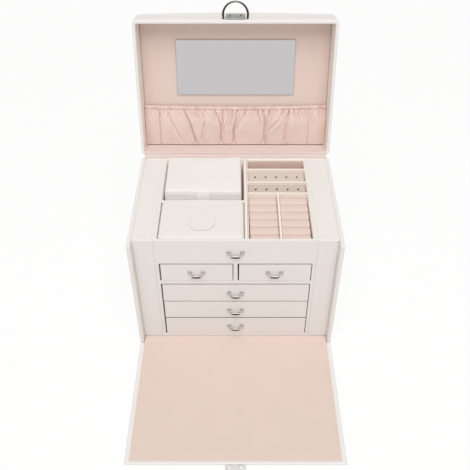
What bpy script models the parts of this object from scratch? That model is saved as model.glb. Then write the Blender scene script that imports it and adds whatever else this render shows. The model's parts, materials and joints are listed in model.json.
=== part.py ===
"""Tiered jewelry box, open as on a shop table: lid leaning back, front flap laid down.

The frame is +Z up, with the origin in the middle of the case's underside, +X to the
viewer's right and -Y towards the viewer. The lid is built shut and then turned open
about its hinge. The flap is built lying open in front of the case.
"""

import math

import bmesh
import bpy
from mathutils import Vector

MM = 0.001

# Gap between pieces that touch, and how far a cutter runs past what it cuts
FIT = 0.3 * MM
OVERRUN = 1 * MM

# Case
CASE_WIDTH = 285 * MM
CASE_DEPTH = 200 * MM
CASE_HEIGHT = 200 * MM
SIDE_BOARD = 5.5 * MM
BASE_BOARD = 4 * MM
REAR_BOARD = 4 * MM
FACE_SETBACK = 12 * MM
BOARD_EDGE = 0.8 * MM
LINING = 0.6 * MM

# Chest of drawers between the two side wings
WING_WIDTH = 28 * MM
PARTITION_BOARD = 4.7 * MM
FRAME_BOARD = 3.6 * MM
FRAME_EDGE = 0.4 * MM
WING_TOP_BOARD = 3.6 * MM
FASCIA_HEIGHT = 43.3 * MM
SMALL_BAY_HEIGHT = 32.3 * MM
RAIL_HEIGHT = 6.9 * MM
KICK_RAIL_HEIGHT = 7.5 * MM
SMALL_DIVIDER = 6 * MM
SMALL_SHELF = 3 * MM
WIDE_SHELF = 2.4 * MM

# Drawers
FRONT_GAP = 1 * MM
DRAWER_SIDE_PLAY = 1.5 * MM
DRAWER_WALL = 2.5 * MM
DRAWER_FLOOR = 2.2 * MM
DRAWER_REAR_PLAY = 5 * MM
DRAWER_HEAD_ROOM = 3.2 * MM

# Drawer pulls: two posts with rosettes, and a bail that swings in them
POST_PITCH = 18.4 * MM
ROSETTE_RADIUS = 3.1 * MM
ROSETTE_THICKNESS = 1.2 * MM
POST_RADIUS = 1.7 * MM
POST_REACH = 5.4 * MM
BAIL_AXIS_REACH = 3.4 * MM
BAIL_WIRE_RADIUS = 0.8 * MM
BAIL_PIN_PLAY = 0.1 * MM
BAIL_DROP = 6.8 * MM
BAIL_TAPER = 0.9 * MM
BAIL_BEND = 1.6 * MM
BAIL_SAG = 0.5 * MM
SHANK_RADIUS = 1.1 * MM
BACKING_WIDTH = 4 * MM
BACKING_THICKNESS = 0.8 * MM
POST_SIDES = 12
WIRE_SIDES = 8

# Tray in the top of the case
TRAY_DEPTH = 34 * MM
TRAY_FLOOR = 3.7 * MM
TRAY_RIM_DROP = 0.4 * MM
LONG_DIVIDER = 4 * MM
LONG_DIVIDER_X = 14.5 * MM
CROSS_DIVIDER = 5 * MM
CROSS_DIVIDER_Y = -5.5 * MM
THIN_DIVIDER = 2.6 * MM
INSERT_WALL = 1.2 * MM
REAR_BAY_DEPTH = 21 * MM
REAR_EARRING_BAY_DEPTH = 29 * MM
FRONT_EARRING_BAY_DEPTH = 23.4 * MM

# Earring pads and ring rolls
PAD_HIGH_DROP = 5 * MM
PAD_LOW_DROP = 12 * MM
EARRING_HOLES = 5
EARRING_END_MARGIN = 11.1 * MM
EARRING_ROW_SHARE = 0.68
EARRING_HOLE_RADIUS = 1 * MM
EARRING_HOLE_DEPTH = 8 * MM
HOLE_SIDES = 8
ROLLS = 6
ROLL_GAP = 0.6 * MM
ROLL_DROP = 6.5 * MM
ROLL_END_ROUND = 3 * MM
ROLL_BASE = 3 * MM
ROLL_ARC_STEPS = 6

# Padded cover of the front left compartment, with its pull tab
COVER_PLAY = 0.7 * MM
COVER_THICKNESS = 6 * MM
COVER_CROWN = 1 * MM
COVER_EDGE = 2 * MM
COVER_CORNER = 2.5 * MM
LEDGE_WIDTH = 4 * MM
LEDGE_HEIGHT = 4 * MM
TAB_WIDTH = 34 * MM
TAB_LENGTH = 30 * MM
TAB_THICKNESS = 1.6 * MM
TAB_CHAMFER = 8 * MM
TAB_OFFSET = 0.2 * MM
TAB_FRONT_MARGIN = 14 * MM

# Travel case that stands in the rear left compartment
TRAVEL_HEIGHT = 44.7 * MM
TRAVEL_LID_HEIGHT = 10.3 * MM
TRAVEL_WALL = 3 * MM
TRAVEL_CORNER = 4 * MM
TRAVEL_EDGE = 2.5 * MM
TRAVEL_SEAM = 0.4 * MM
TRAVEL_LEFT_PLAY = 3.8 * MM
TRAVEL_RIGHT_PLAY = 4 * MM
TRAVEL_FRONT_PLAY = 7.5 * MM
TRAVEL_REAR_PLAY = 7.5 * MM
TRAVEL_HINGE_REACH = 0.4 * MM
STRAP_WIDTH = 19 * MM
STRAP_THICKNESS = 1.6 * MM
STRAP_LENGTH = 20 * MM
STRAP_TOP_DROP = 2.5 * MM

# Lid
LID_OVERHANG = 1 * MM
LID_HEIGHT = 45 * MM
LID_INNER_DEPTH = 39 * MM
LID_SIDE_BOARD = 4.5 * MM
LID_FRONT_BOARD = 5.5 * MM
LID_REAR_BOARD = 4.5 * MM
LID_CORNER = 6 * MM
LID_INNER_CORNER = 1.5 * MM
LID_EDGE = 0.8 * MM
LID_TOP_ROUND = 4 * MM
LID_CROWN = 2.5 * MM
LID_SIDE_SWELL = 0.8 * MM
LID_END_SWELL = 2.4 * MM
LID_STRAIGHT = 16 * MM
LID_SWELL_STEPS = 3
LID_ROUND_STEPS = 3
LID_OPENING = 102

# Counts and shares for round corners, padded sides and domes
CORNER_STEPS = 3
SIDE_STEPS = 4
DOME_SHARES = (0.2, 0.45, 0.7, 0.9)

# Lining, mirror and pocket inside the lid
LID_PANEL = 2 * MM
LID_PANEL_PLAY = 0.5 * MM
MIRROR_WIDTH = 175 * MM
MIRROR_FRONT_MARGIN = 34.8 * MM
MIRROR_THICKNESS = 2 * MM
MIRROR_HINGE_MARGIN = 83.7 * MM
POCKET_LENGTH = 63 * MM
POCKET_HEM_RISE = 3 * MM
POCKET_FOOT_RISE = 8 * MM
POCKET_BULGE = 2 * MM
POCKET_HEM_SAG = 2.3 * MM
POCKET_COLUMNS = 84
POCKET_ROWS = 7
FOLD_WIDTH = 4.5 * MM
FOLD_DEPTH = 3 * MM
# One fold a row: its place at the hem and at the foot, as shares of the width, and its depth
FOLD_SHARES = (
    (0.09, 0.08, 0.6),
    (0.15, 0.17, 0.4),
    (0.21, 0.29, 1.0),
    (0.30, 0.33, 0.6),
    (0.38, 0.42, 0.9),
    (0.45, 0.43, 0.6),
    (0.51, 0.49, 0.9),
    (0.58, 0.56, 0.4),
    (0.645, 0.65, 1.0),
    (0.70, 0.66, 0.8),
    (0.79, 0.77, 0.6),
    (0.84, 0.86, 0.4),
    (0.895, 0.90, 0.6),
)

# Lid hinges on the rear
HINGE_REACH = 2.6 * MM
HINGE_BARREL_RADIUS = 2.2 * MM
HINGE_PIN_RADIUS = 0.9 * MM
HINGE_PIN_PLAY = 0.1 * MM
HINGE_LEAF_WIDTH = 32 * MM
HINGE_LEAF_LENGTH = 13 * MM
HINGE_LEAF_THICKNESS = 1 * MM
HINGE_KNUCKLE = 10 * MM
HINGE_SIDE_MARGIN = 52.5 * MM
HINGE_SIDES = 16

# Front flap with its catch plate
FLAP_TOP_DROP = 1 * MM
FLAP_BOARD = 4 * MM
FLAP_SIDE_BORDER = 6.2 * MM
FLAP_END_BORDER = 3.6 * MM
FOLD_HALF_GAP = 0.5 * MM
FOLD_STRIP_GAP = 1 * MM
CATCH_WIDTH = 26.8 * MM
CATCH_REACH = 7.5 * MM
CATCH_SEAT = 12 * MM
CATCH_THICKNESS = 1.2 * MM
CATCH_INSET = 0.1 * MM
CATCH_HOLE_RADIUS = 1.6 * MM
CATCH_HOLE_REACH = 3.4 * MM

# Keeper on the lid's front wall: plate, block, studs for the catch, pins for the pull ring
KEEPER_WIDTH = 27.5 * MM
KEEPER_HEIGHT = 11 * MM
KEEPER_LIFT = 0.8 * MM
KEEPER_PLATE = 2.4 * MM
KEEPER_BLOCK = 6 * MM
KEEPER_BLOCK_HEIGHT = 4 * MM
STUD_PITCH = 15.2 * MM
STUD_RADIUS = 1.2 * MM
STUD_LENGTH = 2.2 * MM
RING_PIN_RADIUS = 0.6 * MM
RING_PIN_PLAY = 0.1 * MM
RING_AXIS_REACH = 2 * MM
RING_AXIS_LIFT = 4 * MM
RING_WIRE_RADIUS = 1.2 * MM
RING_ARC_RADIUS = 17.2 * MM
RING_ARC_REACH = 4.1 * MM
RING_EYE_RADIUS = 1.6 * MM
RING_EYE_WIDTH = 2.4 * MM
RING_ARC_STEPS = 28
RING_SIDES = 10

WIDE_DRAWER_NAMES = ("bottom_drawer", "middle_drawer", "upper_drawer")

# Places worked out from the sizes above
SIDE_X = CASE_WIDTH / 2 - SIDE_BOARD
FRONT_Y = -CASE_DEPTH / 2
REAR_Y = CASE_DEPTH / 2
FACE_Y = FRONT_Y + FACE_SETBACK
FRAME_BACK_Y = FACE_Y + FRAME_BOARD
REAR_INNER_Y = REAR_Y - REAR_BOARD
CHEST_X = SIDE_X - WING_WIDTH
BAY_X = CHEST_X - PARTITION_BOARD
FASCIA_Z = CASE_HEIGHT - FASCIA_HEIGHT
SMALL_BAY_Z = FASCIA_Z - SMALL_BAY_HEIGHT
WIDE_BAY_TOP_Z = SMALL_BAY_Z - RAIL_HEIGHT
WIDE_BAY_Z = BASE_BOARD + KICK_RAIL_HEIGHT
WIDE_PITCH = (WIDE_BAY_TOP_Z - WIDE_BAY_Z) / len(WIDE_DRAWER_NAMES)
TRAY_Z = CASE_HEIGHT - TRAY_DEPTH
DIVIDER_TOP_Z = CASE_HEIGHT - TRAY_RIM_DROP
LONG_DIVIDER_LEFT_X = LONG_DIVIDER_X - LONG_DIVIDER / 2
LONG_DIVIDER_RIGHT_X = LONG_DIVIDER_X + LONG_DIVIDER / 2
CROSS_DIVIDER_FRONT_Y = CROSS_DIVIDER_Y - CROSS_DIVIDER / 2
INSERT_LEFT_X = LONG_DIVIDER_RIGHT_X + FIT
INSERT_RIGHT_X = BAY_X - FIT
INSERT_REAR_Y = REAR_INNER_Y - FIT
REAR_BOARD_Y = INSERT_REAR_Y - 2 * THIN_DIVIDER - REAR_BAY_DEPTH
MIDDLE_BOARD_Y = REAR_BOARD_Y - REAR_EARRING_BAY_DEPTH - THIN_DIVIDER
FRONT_BOARD_Y = MIDDLE_BOARD_Y - FRONT_EARRING_BAY_DEPTH - THIN_DIVIDER
RING_BAY_X = (INSERT_LEFT_X + INSERT_RIGHT_X) / 2
TRAVEL_LEFT_X = -BAY_X + TRAVEL_LEFT_PLAY
TRAVEL_WIDTH = LONG_DIVIDER_LEFT_X - TRAVEL_RIGHT_PLAY - TRAVEL_LEFT_X
TRAVEL_FRONT_Y = CROSS_DIVIDER_FRONT_Y + CROSS_DIVIDER + TRAVEL_FRONT_PLAY
TRAVEL_DEPTH = REAR_INNER_Y - TRAVEL_REAR_PLAY - TRAVEL_FRONT_Y
LID_WIDTH = CASE_WIDTH + 2 * LID_OVERHANG
LID_LENGTH = CASE_DEPTH
RIM_Z = CASE_HEIGHT + FIT
HINGE_Y = REAR_Y + HINGE_REACH
HINGE_X = CASE_WIDTH / 2 - HINGE_SIDE_MARGIN
FOLD_Y = FRONT_Y - FIT
FLAP_LENGTH = CASE_HEIGHT - BASE_BOARD - FLAP_TOP_DROP

# Colour, roughness and metallic value of each finish
FINISHES = {
    "white_leather": ((0.84, 0.81, 0.78, 1.0), 0.45, 0.0),
    "pink_velvet": ((0.81, 0.63, 0.56, 1.0), 0.9, 0.0),
    "pink_cloth": ((0.80, 0.60, 0.52, 1.0), 0.8, 0.0),
    "beige_velvet": ((0.68, 0.59, 0.53, 1.0), 0.9, 0.0),
    "nickel": ((0.45, 0.45, 0.44, 1.0), 0.25, 1.0),
    "mirror_glass": ((0.57, 0.55, 0.56, 1.0), 0.05, 1.0),
}


def finish(obj, kind):
    """Give the object a material of its own in one of the finishes."""
    colour, roughness, metallic = FINISHES[kind]
    material = bpy.data.materials.new(obj.name)
    material.use_nodes = True
    shader = material.node_tree.nodes["Principled BSDF"]
    shader.inputs["Base Color"].default_value = colour
    shader.inputs["Roughness"].default_value = roughness
    shader.inputs["Metallic"].default_value = metallic
    obj.data.materials.append(material)


def world_place(obj):
    """Where an unturned object or pivot stands, added up through its parents."""
    total = Vector()
    while obj:
        total += obj.location
        obj = obj.parent
    return total


def pivot(name, place, parent=None):
    """An empty on a joint's axis, which carries what moves there."""
    empty = bpy.data.objects.new(name, None)
    bpy.context.collection.objects.link(empty)
    empty.parent = parent
    empty.location = Vector(place) - world_place(parent)
    return empty


def add_object(name, mesh, kind, place, parent):
    """Turn a bmesh into a linked object with closed, outward faces."""
    bmesh.ops.recalc_face_normals(mesh, faces=mesh.faces[:])
    data = bpy.data.meshes.new(name)
    mesh.to_mesh(data)
    mesh.free()
    obj = bpy.data.objects.new(name, data)
    bpy.context.collection.objects.link(obj)
    obj.parent = parent
    obj.location = Vector(place) - world_place(parent)
    if kind:
        finish(obj, kind)
    return obj


def add_box(mesh, x, y, z):
    """One box between two limits on each axis."""
    corners = [mesh.verts.new((x[i], y[j], z[k])) for i in (0, 1) for j in (0, 1) for k in (0, 1)]
    sides = ((0, 1, 3, 2), (4, 6, 7, 5), (0, 4, 5, 1), (2, 3, 7, 6), (0, 2, 6, 4), (1, 5, 7, 3))
    for side in sides:
        mesh.faces.new([corners[i] for i in side])


def add_loft(mesh, rings):
    """Skin over rings with equal numbers of points, closed by a cap at each end."""
    loops = [[mesh.verts.new(point) for point in ring] for ring in rings]
    for near, far in zip(loops, loops[1:]):
        for i in range(len(near)):
            j = (i + 1) % len(near)
            mesh.faces.new((near[i], near[j], far[j], far[i]))
    mesh.faces.new(list(reversed(loops[0])))
    mesh.faces.new(loops[-1])


def soften(obj, width):
    """Round every sharp edge a little."""
    bevel = obj.modifiers.new("edge", "BEVEL")
    bevel.width = width
    bevel.segments = 1
    bevel.limit_method = "ANGLE"


def board(name, x, y, z, kind, parent=None, edge=BOARD_EDGE):
    """A board between two limits on each axis, with its origin at its middle."""
    middle = Vector(sum(limits) / 2 for limits in (x, y, z))
    spans = [[limit - centre for limit in limits] for limits, centre in zip((x, y, z), middle)]
    mesh = bmesh.new()
    add_box(mesh, *spans)
    obj = add_object(name, mesh, kind, middle, parent)
    if edge:
        soften(obj, edge)
    return obj


def add_lattice(mesh, columns, rows, solid_cells, depths, place):
    """Bars of a lattice: the solid cells of a grid, given a depth, as one body."""
    verts = {}

    def vertex(column, row, side):
        key = (column, row, side)
        if key not in verts:
            verts[key] = mesh.verts.new(place(columns[column], rows[row], depths[side]))
        return verts[key]

    for column, row in solid_cells:
        corners = ((column, row), (column + 1, row), (column + 1, row + 1), (column, row + 1))
        for side in (0, 1):
            mesh.faces.new([vertex(*corner, side) for corner in corners])
        beyond = ((column, row - 1), (column + 1, row), (column, row + 1), (column - 1, row))
        for edge, neighbour in enumerate(beyond):
            if neighbour not in solid_cells:
                near, far = corners[edge], corners[(edge + 1) % 4]
                near_edge = (vertex(*near, 0), vertex(*far, 0))
                mesh.faces.new(near_edge + (vertex(*far, 1), vertex(*near, 1)))


def prism(name, outline, along, kind, place, parent=None):
    """An outline in Y and Z, drawn along X between two limits."""
    mesh = bmesh.new()
    add_loft(mesh, [[(x, y, z) for y, z in outline] for x in along])
    return add_object(name, mesh, kind, place, parent)


def hide_tool(tool):
    """Keep a shape that only cuts or joins another out of the model."""
    tool.hide_render = True
    tool.display_type = "WIRE"


def combine(obj, tool, operation):
    """Join a tool shape to an object, or cut it away."""
    change = obj.modifiers.new(operation.lower(), "BOOLEAN")
    change.operation = operation
    change.object = tool
    hide_tool(tool)


def ring_points(centre, axis, radius, sides):
    """Points of a circle round an axis, for a rod or a hole."""
    axis = Vector(axis).normalized()
    first = axis.orthogonal().normalized()
    second = axis.cross(first)
    angles = [math.tau * i / sides for i in range(sides)]
    return [Vector(centre) + radius * (math.cos(a) * first + math.sin(a) * second) for a in angles]


def add_rod(mesh, start, end, radius, sides):
    """A straight round rod between two points."""
    axis = Vector(end) - Vector(start)
    add_loft(mesh, [ring_points(point, axis, radius, sides) for point in (start, end)])


def add_tube(mesh, path, radius, sides):
    """A round wire along a path of points, its cross-section carried without twist."""
    points = [Vector(point) for point in path]
    side = (points[1] - points[0]).orthogonal().normalized()
    rings = []
    for i, point in enumerate(points):
        before = points[max(i - 1, 0)]
        after = points[min(i + 1, len(points) - 1)]
        along = (after - before).normalized()
        side = (side - along * side.dot(along)).normalized()
        other = along.cross(side)
        angles = [math.tau * k / sides for k in range(sides)]
        rings.append([point + radius * (math.cos(a) * side + math.sin(a) * other) for a in angles])
    add_loft(mesh, rings)


def bend(corner, before, after, radius, steps):
    """Points of a round bend that replaces a corner of a path."""
    corner, before, after = Vector(corner), Vector(before), Vector(after)
    start = corner + (before - corner).normalized() * radius
    end = corner + (after - corner).normalized() * radius
    shares = [i / steps for i in range(steps + 1)]
    return [start.lerp(corner, s).lerp(corner.lerp(end, s), s) for s in shares]


def outline(half_x, half_y, corner, swell=(0, 0), middle_y=0):
    """Points round a rectangle with round corners, whose sides may swell along X and Y."""
    points = []
    for quarter in range(4):
        signs = ((1, 1), (-1, 1), (-1, -1), (1, -1))[quarter]
        centre = (signs[0] * (half_x - corner), signs[1] * (half_y - corner))
        for step in range(CORNER_STEPS + 1):
            angle = math.pi / 2 * (quarter + step / CORNER_STEPS)
            points.append((centre[0] + corner * math.cos(angle), centre[1] + corner * math.sin(angle)))
        following = ((-1, 1), (-1, -1), (1, -1), (1, 1))[quarter]
        angle = math.pi / 2 * (quarter + 1)
        outward = (math.cos(angle), math.sin(angle))
        start = points[-1]
        end = (following[0] * (half_x - corner) + corner * outward[0],
               following[1] * (half_y - corner) + corner * outward[1])
        for step in range(1, SIDE_STEPS):
            share = step / SIDE_STEPS
            arc = math.sin(math.pi * share)
            sides = zip(start, end, outward, swell)
            points.append(tuple(a + (b - a) * share + arc * n * rise for a, b, n, rise in sides))
    return [(x, y + middle_y) for x, y in points]


def at_height(points, z):
    """Lift flat outline points to a height."""
    return [(x, y, z) for x, y in points]


def dome_rings(edge, foot_z, rise):
    """Rings that shrink from an outline to its middle and rise into a soft dome."""
    half_x = max(x for x, y in edge)
    half_y = max(y for x, y in edge)
    rings = []
    for share in DOME_SHARES:
        left_over = 1 - share
        ring = []
        for x, y in edge:
            along = (x / half_x * left_over) ** 2
            across = (y / half_y * left_over) ** 2
            ring.append((x * left_over, y * left_over, foot_z + rise * (1 - along) * (1 - across)))
        rings.append(ring)
    return rings


def smooth(share):
    """A soft step from 0 to 1."""
    return share * share * (3 - 2 * share)


def build_case_walls():
    """Base, side walls and rear wall."""
    inner = (-SIDE_X + FIT, SIDE_X - FIT)
    board("base_board", inner, (FRONT_Y, REAR_Y), (0, BASE_BOARD), "white_leather")
    for name, sign in (("left_side_wall", -1), ("right_side_wall", 1)):
        x = sorted((sign * SIDE_X, sign * CASE_WIDTH / 2))
        board(name, x, (FRONT_Y, REAR_Y), (0, CASE_HEIGHT), "white_leather")
    z = (BASE_BOARD + FIT, CASE_HEIGHT)
    board("rear_wall", inner, (REAR_INNER_Y, REAR_Y), z, "white_leather")
    x = (-SIDE_X + FOLD_HALF_GAP, SIDE_X - FOLD_HALF_GAP)
    y = (FRONT_Y + FOLD_STRIP_GAP, FACE_Y - FIT)
    z = (BASE_BOARD + FIT, BASE_BOARD + FIT + LINING)
    board("fold_lining", x, y, z, "pink_velvet", edge=0)


def build_wings():
    """Closed wings beside the chest: front and top board in one bent piece."""
    profile = (
        (FACE_Y, BASE_BOARD + FIT),
        (FRAME_BACK_Y, BASE_BOARD + FIT),
        (FRAME_BACK_Y, CASE_HEIGHT - WING_TOP_BOARD),
        (REAR_INNER_Y - FIT, CASE_HEIGHT - WING_TOP_BOARD),
        (REAR_INNER_Y - FIT, CASE_HEIGHT),
        (FACE_Y, CASE_HEIGHT),
    )
    width = SIDE_X - CHEST_X - 2 * FIT
    for name, sign in (("left_wing", -1), ("right_wing", 1)):
        middle = Vector((sign * (CHEST_X + SIDE_X) / 2, 0, 0))
        wing = prism(name, profile, (-width / 2, width / 2), "white_leather", middle)
        soften(wing, BOARD_EDGE)


def build_partitions():
    """Upright boards that carry the shelves and form the tray's left and right rim."""
    y = (FRAME_BACK_Y + FIT, REAR_INNER_Y - FIT)
    z = (BASE_BOARD + FIT, CASE_HEIGHT)
    for name, sign in (("left_partition", -1), ("right_partition", 1)):
        x = sorted((sign * BAY_X, sign * CHEST_X))
        board(name, x, y, z, "white_leather")


def build_front_frame():
    """Face frame: top fascia, stiles, rails and the post between the small drawers."""
    columns = (-CHEST_X, -BAY_X, -SMALL_DIVIDER / 2, SMALL_DIVIDER / 2, BAY_X, CHEST_X)
    rows = (BASE_BOARD + FIT, WIDE_BAY_Z, WIDE_BAY_TOP_Z, SMALL_BAY_Z, FASCIA_Z, CASE_HEIGHT)
    open_cells = {(1, 1), (2, 1), (3, 1), (1, 3), (3, 3)}
    cells = {(i, k) for i in range(5) for k in range(5)} - open_cells
    mesh = bmesh.new()
    depths = (FACE_Y, FRAME_BACK_Y)
    add_lattice(mesh, columns, rows, cells, depths, lambda x, z, y: (x, y, z))
    frame = add_object("front_frame", mesh, "white_leather", (0, 0, 0), None)
    soften(frame, FRAME_EDGE)
    return frame


def build_shelves():
    """Tray floor, and the shelves that the drawers run on."""
    x = (-BAY_X + FIT, BAY_X - FIT)
    y = (FRAME_BACK_Y + FIT, REAR_INNER_Y - FIT)
    board("tray_floor", x, y, (TRAY_Z - TRAY_FLOOR, TRAY_Z), "pink_velvet", edge=0)
    board("small_drawer_shelf", x, y, (SMALL_BAY_Z - SMALL_SHELF, SMALL_BAY_Z), "white_leather", edge=0)
    for level, name in enumerate(WIDE_DRAWER_NAMES):
        middle = WIDE_BAY_Z + level * WIDE_PITCH
        shelf_z = (middle - WIDE_SHELF / 2, middle + WIDE_SHELF / 2)
        board(name + "_shelf", x, y, shelf_z, "white_leather", edge=0)
    z = (SMALL_BAY_Z + FIT, TRAY_Z - TRAY_FLOOR - FIT)
    half = SMALL_DIVIDER / 2
    board("small_drawer_divider", (-half, half), y, z, "white_leather", edge=0)


def build_tray_dividers():
    """Dividers of the top tray."""
    z = (TRAY_Z + FIT, DIVIDER_TOP_Z)
    y = (FRAME_BACK_Y + FIT, REAR_INNER_Y - FIT)
    x = (LONG_DIVIDER_LEFT_X, LONG_DIVIDER_RIGHT_X)
    board("tray_long_divider", x, y, z, "white_leather")
    x = (-BAY_X + FIT, LONG_DIVIDER_LEFT_X - FIT)
    y = (CROSS_DIVIDER_FRONT_Y, CROSS_DIVIDER_FRONT_Y + CROSS_DIVIDER)
    board("tray_cross_divider", x, y, z, "white_leather")
    columns = (
        INSERT_LEFT_X,
        INSERT_LEFT_X + INSERT_WALL,
        RING_BAY_X - THIN_DIVIDER / 2,
        RING_BAY_X + THIN_DIVIDER / 2,
        INSERT_RIGHT_X - INSERT_WALL,
        INSERT_RIGHT_X,
    )
    starts = (FRONT_BOARD_Y, MIDDLE_BOARD_Y, REAR_BOARD_Y, INSERT_REAR_Y - THIN_DIVIDER)
    rows = [FRAME_BACK_Y + FIT]
    for start in starts:
        rows += [start, start + THIN_DIVIDER]
    cells = {(column, row) for column in (0, 4) for row in range(8)}
    cells |= {(column, row) for column in range(5) for row in (1, 3, 5, 7)}
    cells.add((2, 0))
    insert = bmesh.new()
    add_lattice(insert, columns, rows, cells, z, lambda x, y, z: (x, y, z))
    add_object("ring_tray_insert", insert, "white_leather", (0, 0, 0), None)


def build_earring_pads():
    """Two sloping foam pads, each with a row of holes for earring posts."""
    x = (INSERT_LEFT_X + INSERT_WALL + FIT, INSERT_RIGHT_X - INSERT_WALL - FIT)
    bays = (
        ("rear_earring_pad", MIDDLE_BOARD_Y + THIN_DIVIDER + FIT, REAR_BOARD_Y - FIT),
        ("front_earring_pad", FRONT_BOARD_Y + THIN_DIVIDER + FIT, MIDDLE_BOARD_Y - FIT),
    )
    low, high = CASE_HEIGHT - PAD_LOW_DROP, CASE_HEIGHT - PAD_HIGH_DROP
    foot = TRAY_Z + FIT
    pitch = (x[1] - x[0] - 2 * EARRING_END_MARGIN) / (EARRING_HOLES - 1)
    for name, front, rear in bays:
        section = ((front, foot), (rear, foot), (rear, high), (front, low))
        pad = prism(name, section, x, "beige_velvet", (0, 0, 0))
        row_y = front + EARRING_ROW_SHARE * (rear - front)
        row_z = low + EARRING_ROW_SHARE * (high - low)
        holes = bmesh.new()
        for i in range(EARRING_HOLES):
            hole_x = x[0] + EARRING_END_MARGIN + i * pitch
            bottom = (hole_x, row_y, row_z - EARRING_HOLE_DEPTH)
            add_rod(holes, bottom, (hole_x, row_y, high), EARRING_HOLE_RADIUS, HOLE_SIDES)
        combine(pad, add_object(name + "_cutter", holes, None, (0, 0, 0), None), "DIFFERENCE")


def rolls_section(front, rear, inset):
    """Outline of a row of rolls on a common base, each drawn in by an inset."""
    pitch = (rear - front) / ROLLS
    half = (pitch - ROLL_GAP) / 2 - inset
    foot = TRAY_Z + FIT
    crown = CASE_HEIGHT - ROLL_DROP - inset - half
    points = [(front, foot)]
    for i in range(ROLLS):
        middle = front + (i + 0.5) * pitch
        points.append((middle - half, foot + ROLL_BASE))
        for step in range(ROLL_ARC_STEPS + 1):
            angle = math.pi * (1 - step / ROLL_ARC_STEPS)
            points.append((middle + half * math.cos(angle), crown + half * math.sin(angle)))
        points.append((middle + half, foot + ROLL_BASE))
    points.append((rear, foot))
    return points


def build_ring_rolls():
    """Two rows of soft rolls that grip rings between them."""
    front, rear = FRAME_BACK_Y + 2 * FIT, FRONT_BOARD_Y - FIT
    half = THIN_DIVIDER / 2 + FIT
    bays = (
        ("left_ring_rolls", INSERT_LEFT_X + INSERT_WALL + FIT, RING_BAY_X - half),
        ("right_ring_rolls", RING_BAY_X + half, INSERT_RIGHT_X - INSERT_WALL - FIT),
    )
    for name, left, right in bays:
        stations = (
            (left, ROLL_END_ROUND / 2),
            (left + ROLL_END_ROUND / 3, ROLL_END_ROUND / 6),
            (left + ROLL_END_ROUND, 0),
            (right - ROLL_END_ROUND, 0),
            (right - ROLL_END_ROUND / 3, ROLL_END_ROUND / 6),
            (right, ROLL_END_ROUND / 2),
        )
        rings = [[(x, y, z) for y, z in rolls_section(front, rear, inset)] for x, inset in stations]
        mesh = bmesh.new()
        add_loft(mesh, rings)
        rolls = add_object(name, mesh, "pink_velvet", (0, 0, 0), None)
        rolls.data.shade_smooth()
        rolls.data.set_sharp_from_angle(angle=math.radians(50))


def build_pull(name, x, z, parent, front):
    """Posts screwed through a front to a backing strip, and the bail that swings in them."""
    face = FACE_Y - FIT
    axis_y = FACE_Y - BAIL_AXIS_REACH
    hole_radius = BAIL_WIRE_RADIUS + BAIL_PIN_PLAY
    strip_y = (FRAME_BACK_Y + FIT, FRAME_BACK_Y + FIT + BACKING_THICKNESS)
    profile = (
        (sum(strip_y) / 2, SHANK_RADIUS),
        (face, SHANK_RADIUS),
        (face, ROSETTE_RADIUS),
        (face - ROSETTE_THICKNESS / 2, ROSETTE_RADIUS),
        (face - ROSETTE_THICKNESS, (POST_RADIUS + ROSETTE_RADIUS) / 2),
        (face - ROSETTE_THICKNESS, POST_RADIUS),
        (face - POST_REACH + POST_RADIUS / 2, POST_RADIUS),
        (face - POST_REACH, POST_RADIUS / 2),
    )
    posts, holes, clearances = bmesh.new(), bmesh.new(), bmesh.new()
    for sign in (-1, 1):
        post_x = x + sign * POST_PITCH / 2
        add_loft(posts, [ring_points((post_x, y, z), (0, 1, 0), radius, POST_SIDES)
                         for y, radius in profile])
        mouth = (post_x - sign * (POST_RADIUS + OVERRUN), axis_y, z)
        bottom = (post_x + sign * POST_RADIUS / 2, axis_y, z)
        add_rod(holes, mouth, bottom, hole_radius, HOLE_SIDES)
        ends = ((post_x, FACE_Y - OVERRUN, z), (post_x, FRAME_BACK_Y + OVERRUN, z))
        add_rod(clearances, *ends, SHANK_RADIUS + FIT, POST_SIDES)
    strip_x = (x - POST_PITCH / 2 - BACKING_WIDTH / 2, x + POST_PITCH / 2 + BACKING_WIDTH / 2)
    strip_z = (z - BACKING_WIDTH / 2, z + BACKING_WIDTH / 2)
    pull = board(name + "_pull_posts", strip_x, strip_y, strip_z, "nickel", parent, 0)
    combine(pull, add_object(name + "_post_tool", posts, None, (0, 0, 0), parent), "UNION")
    combine(pull, add_object(name + "_pin_hole_tool", holes, None, (0, 0, 0), parent), "DIFFERENCE")
    tool = add_object(name + "_shank_hole_tool", clearances, None, (0, 0, 0), parent)
    combine(front, tool, "DIFFERENCE")

    swing = pivot(name + "_bail_pivot", (x, axis_y, z), parent)
    pin_end = POST_PITCH / 2 + POST_RADIUS / 2 - FIT
    leg_top = POST_PITCH / 2 - POST_RADIUS - BAIL_WIRE_RADIUS - FIT
    leg_foot = leg_top - BAIL_TAPER
    left = [(-pin_end, 0, 0), (-leg_top, 0, 0), (-leg_foot, 0, -BAIL_DROP)]
    sag = (0, 0, -BAIL_DROP - BAIL_SAG)
    path = [left[0]]
    path += bend(left[1], left[0], left[2], BAIL_WIRE_RADIUS, 3)
    path += bend(left[2], left[1], sag, BAIL_BEND, 4)
    mirrored = [(-point[0], point[1], point[2]) for point in reversed([Vector(p) for p in path])]
    path = path + [sag] + mirrored
    wire = bmesh.new()
    add_tube(wire, path, BAIL_WIRE_RADIUS, WIRE_SIDES)
    bail = add_object(name + "_bail", wire, "nickel", (x, axis_y, z), swing)
    bail.data.shade_smooth()


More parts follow.
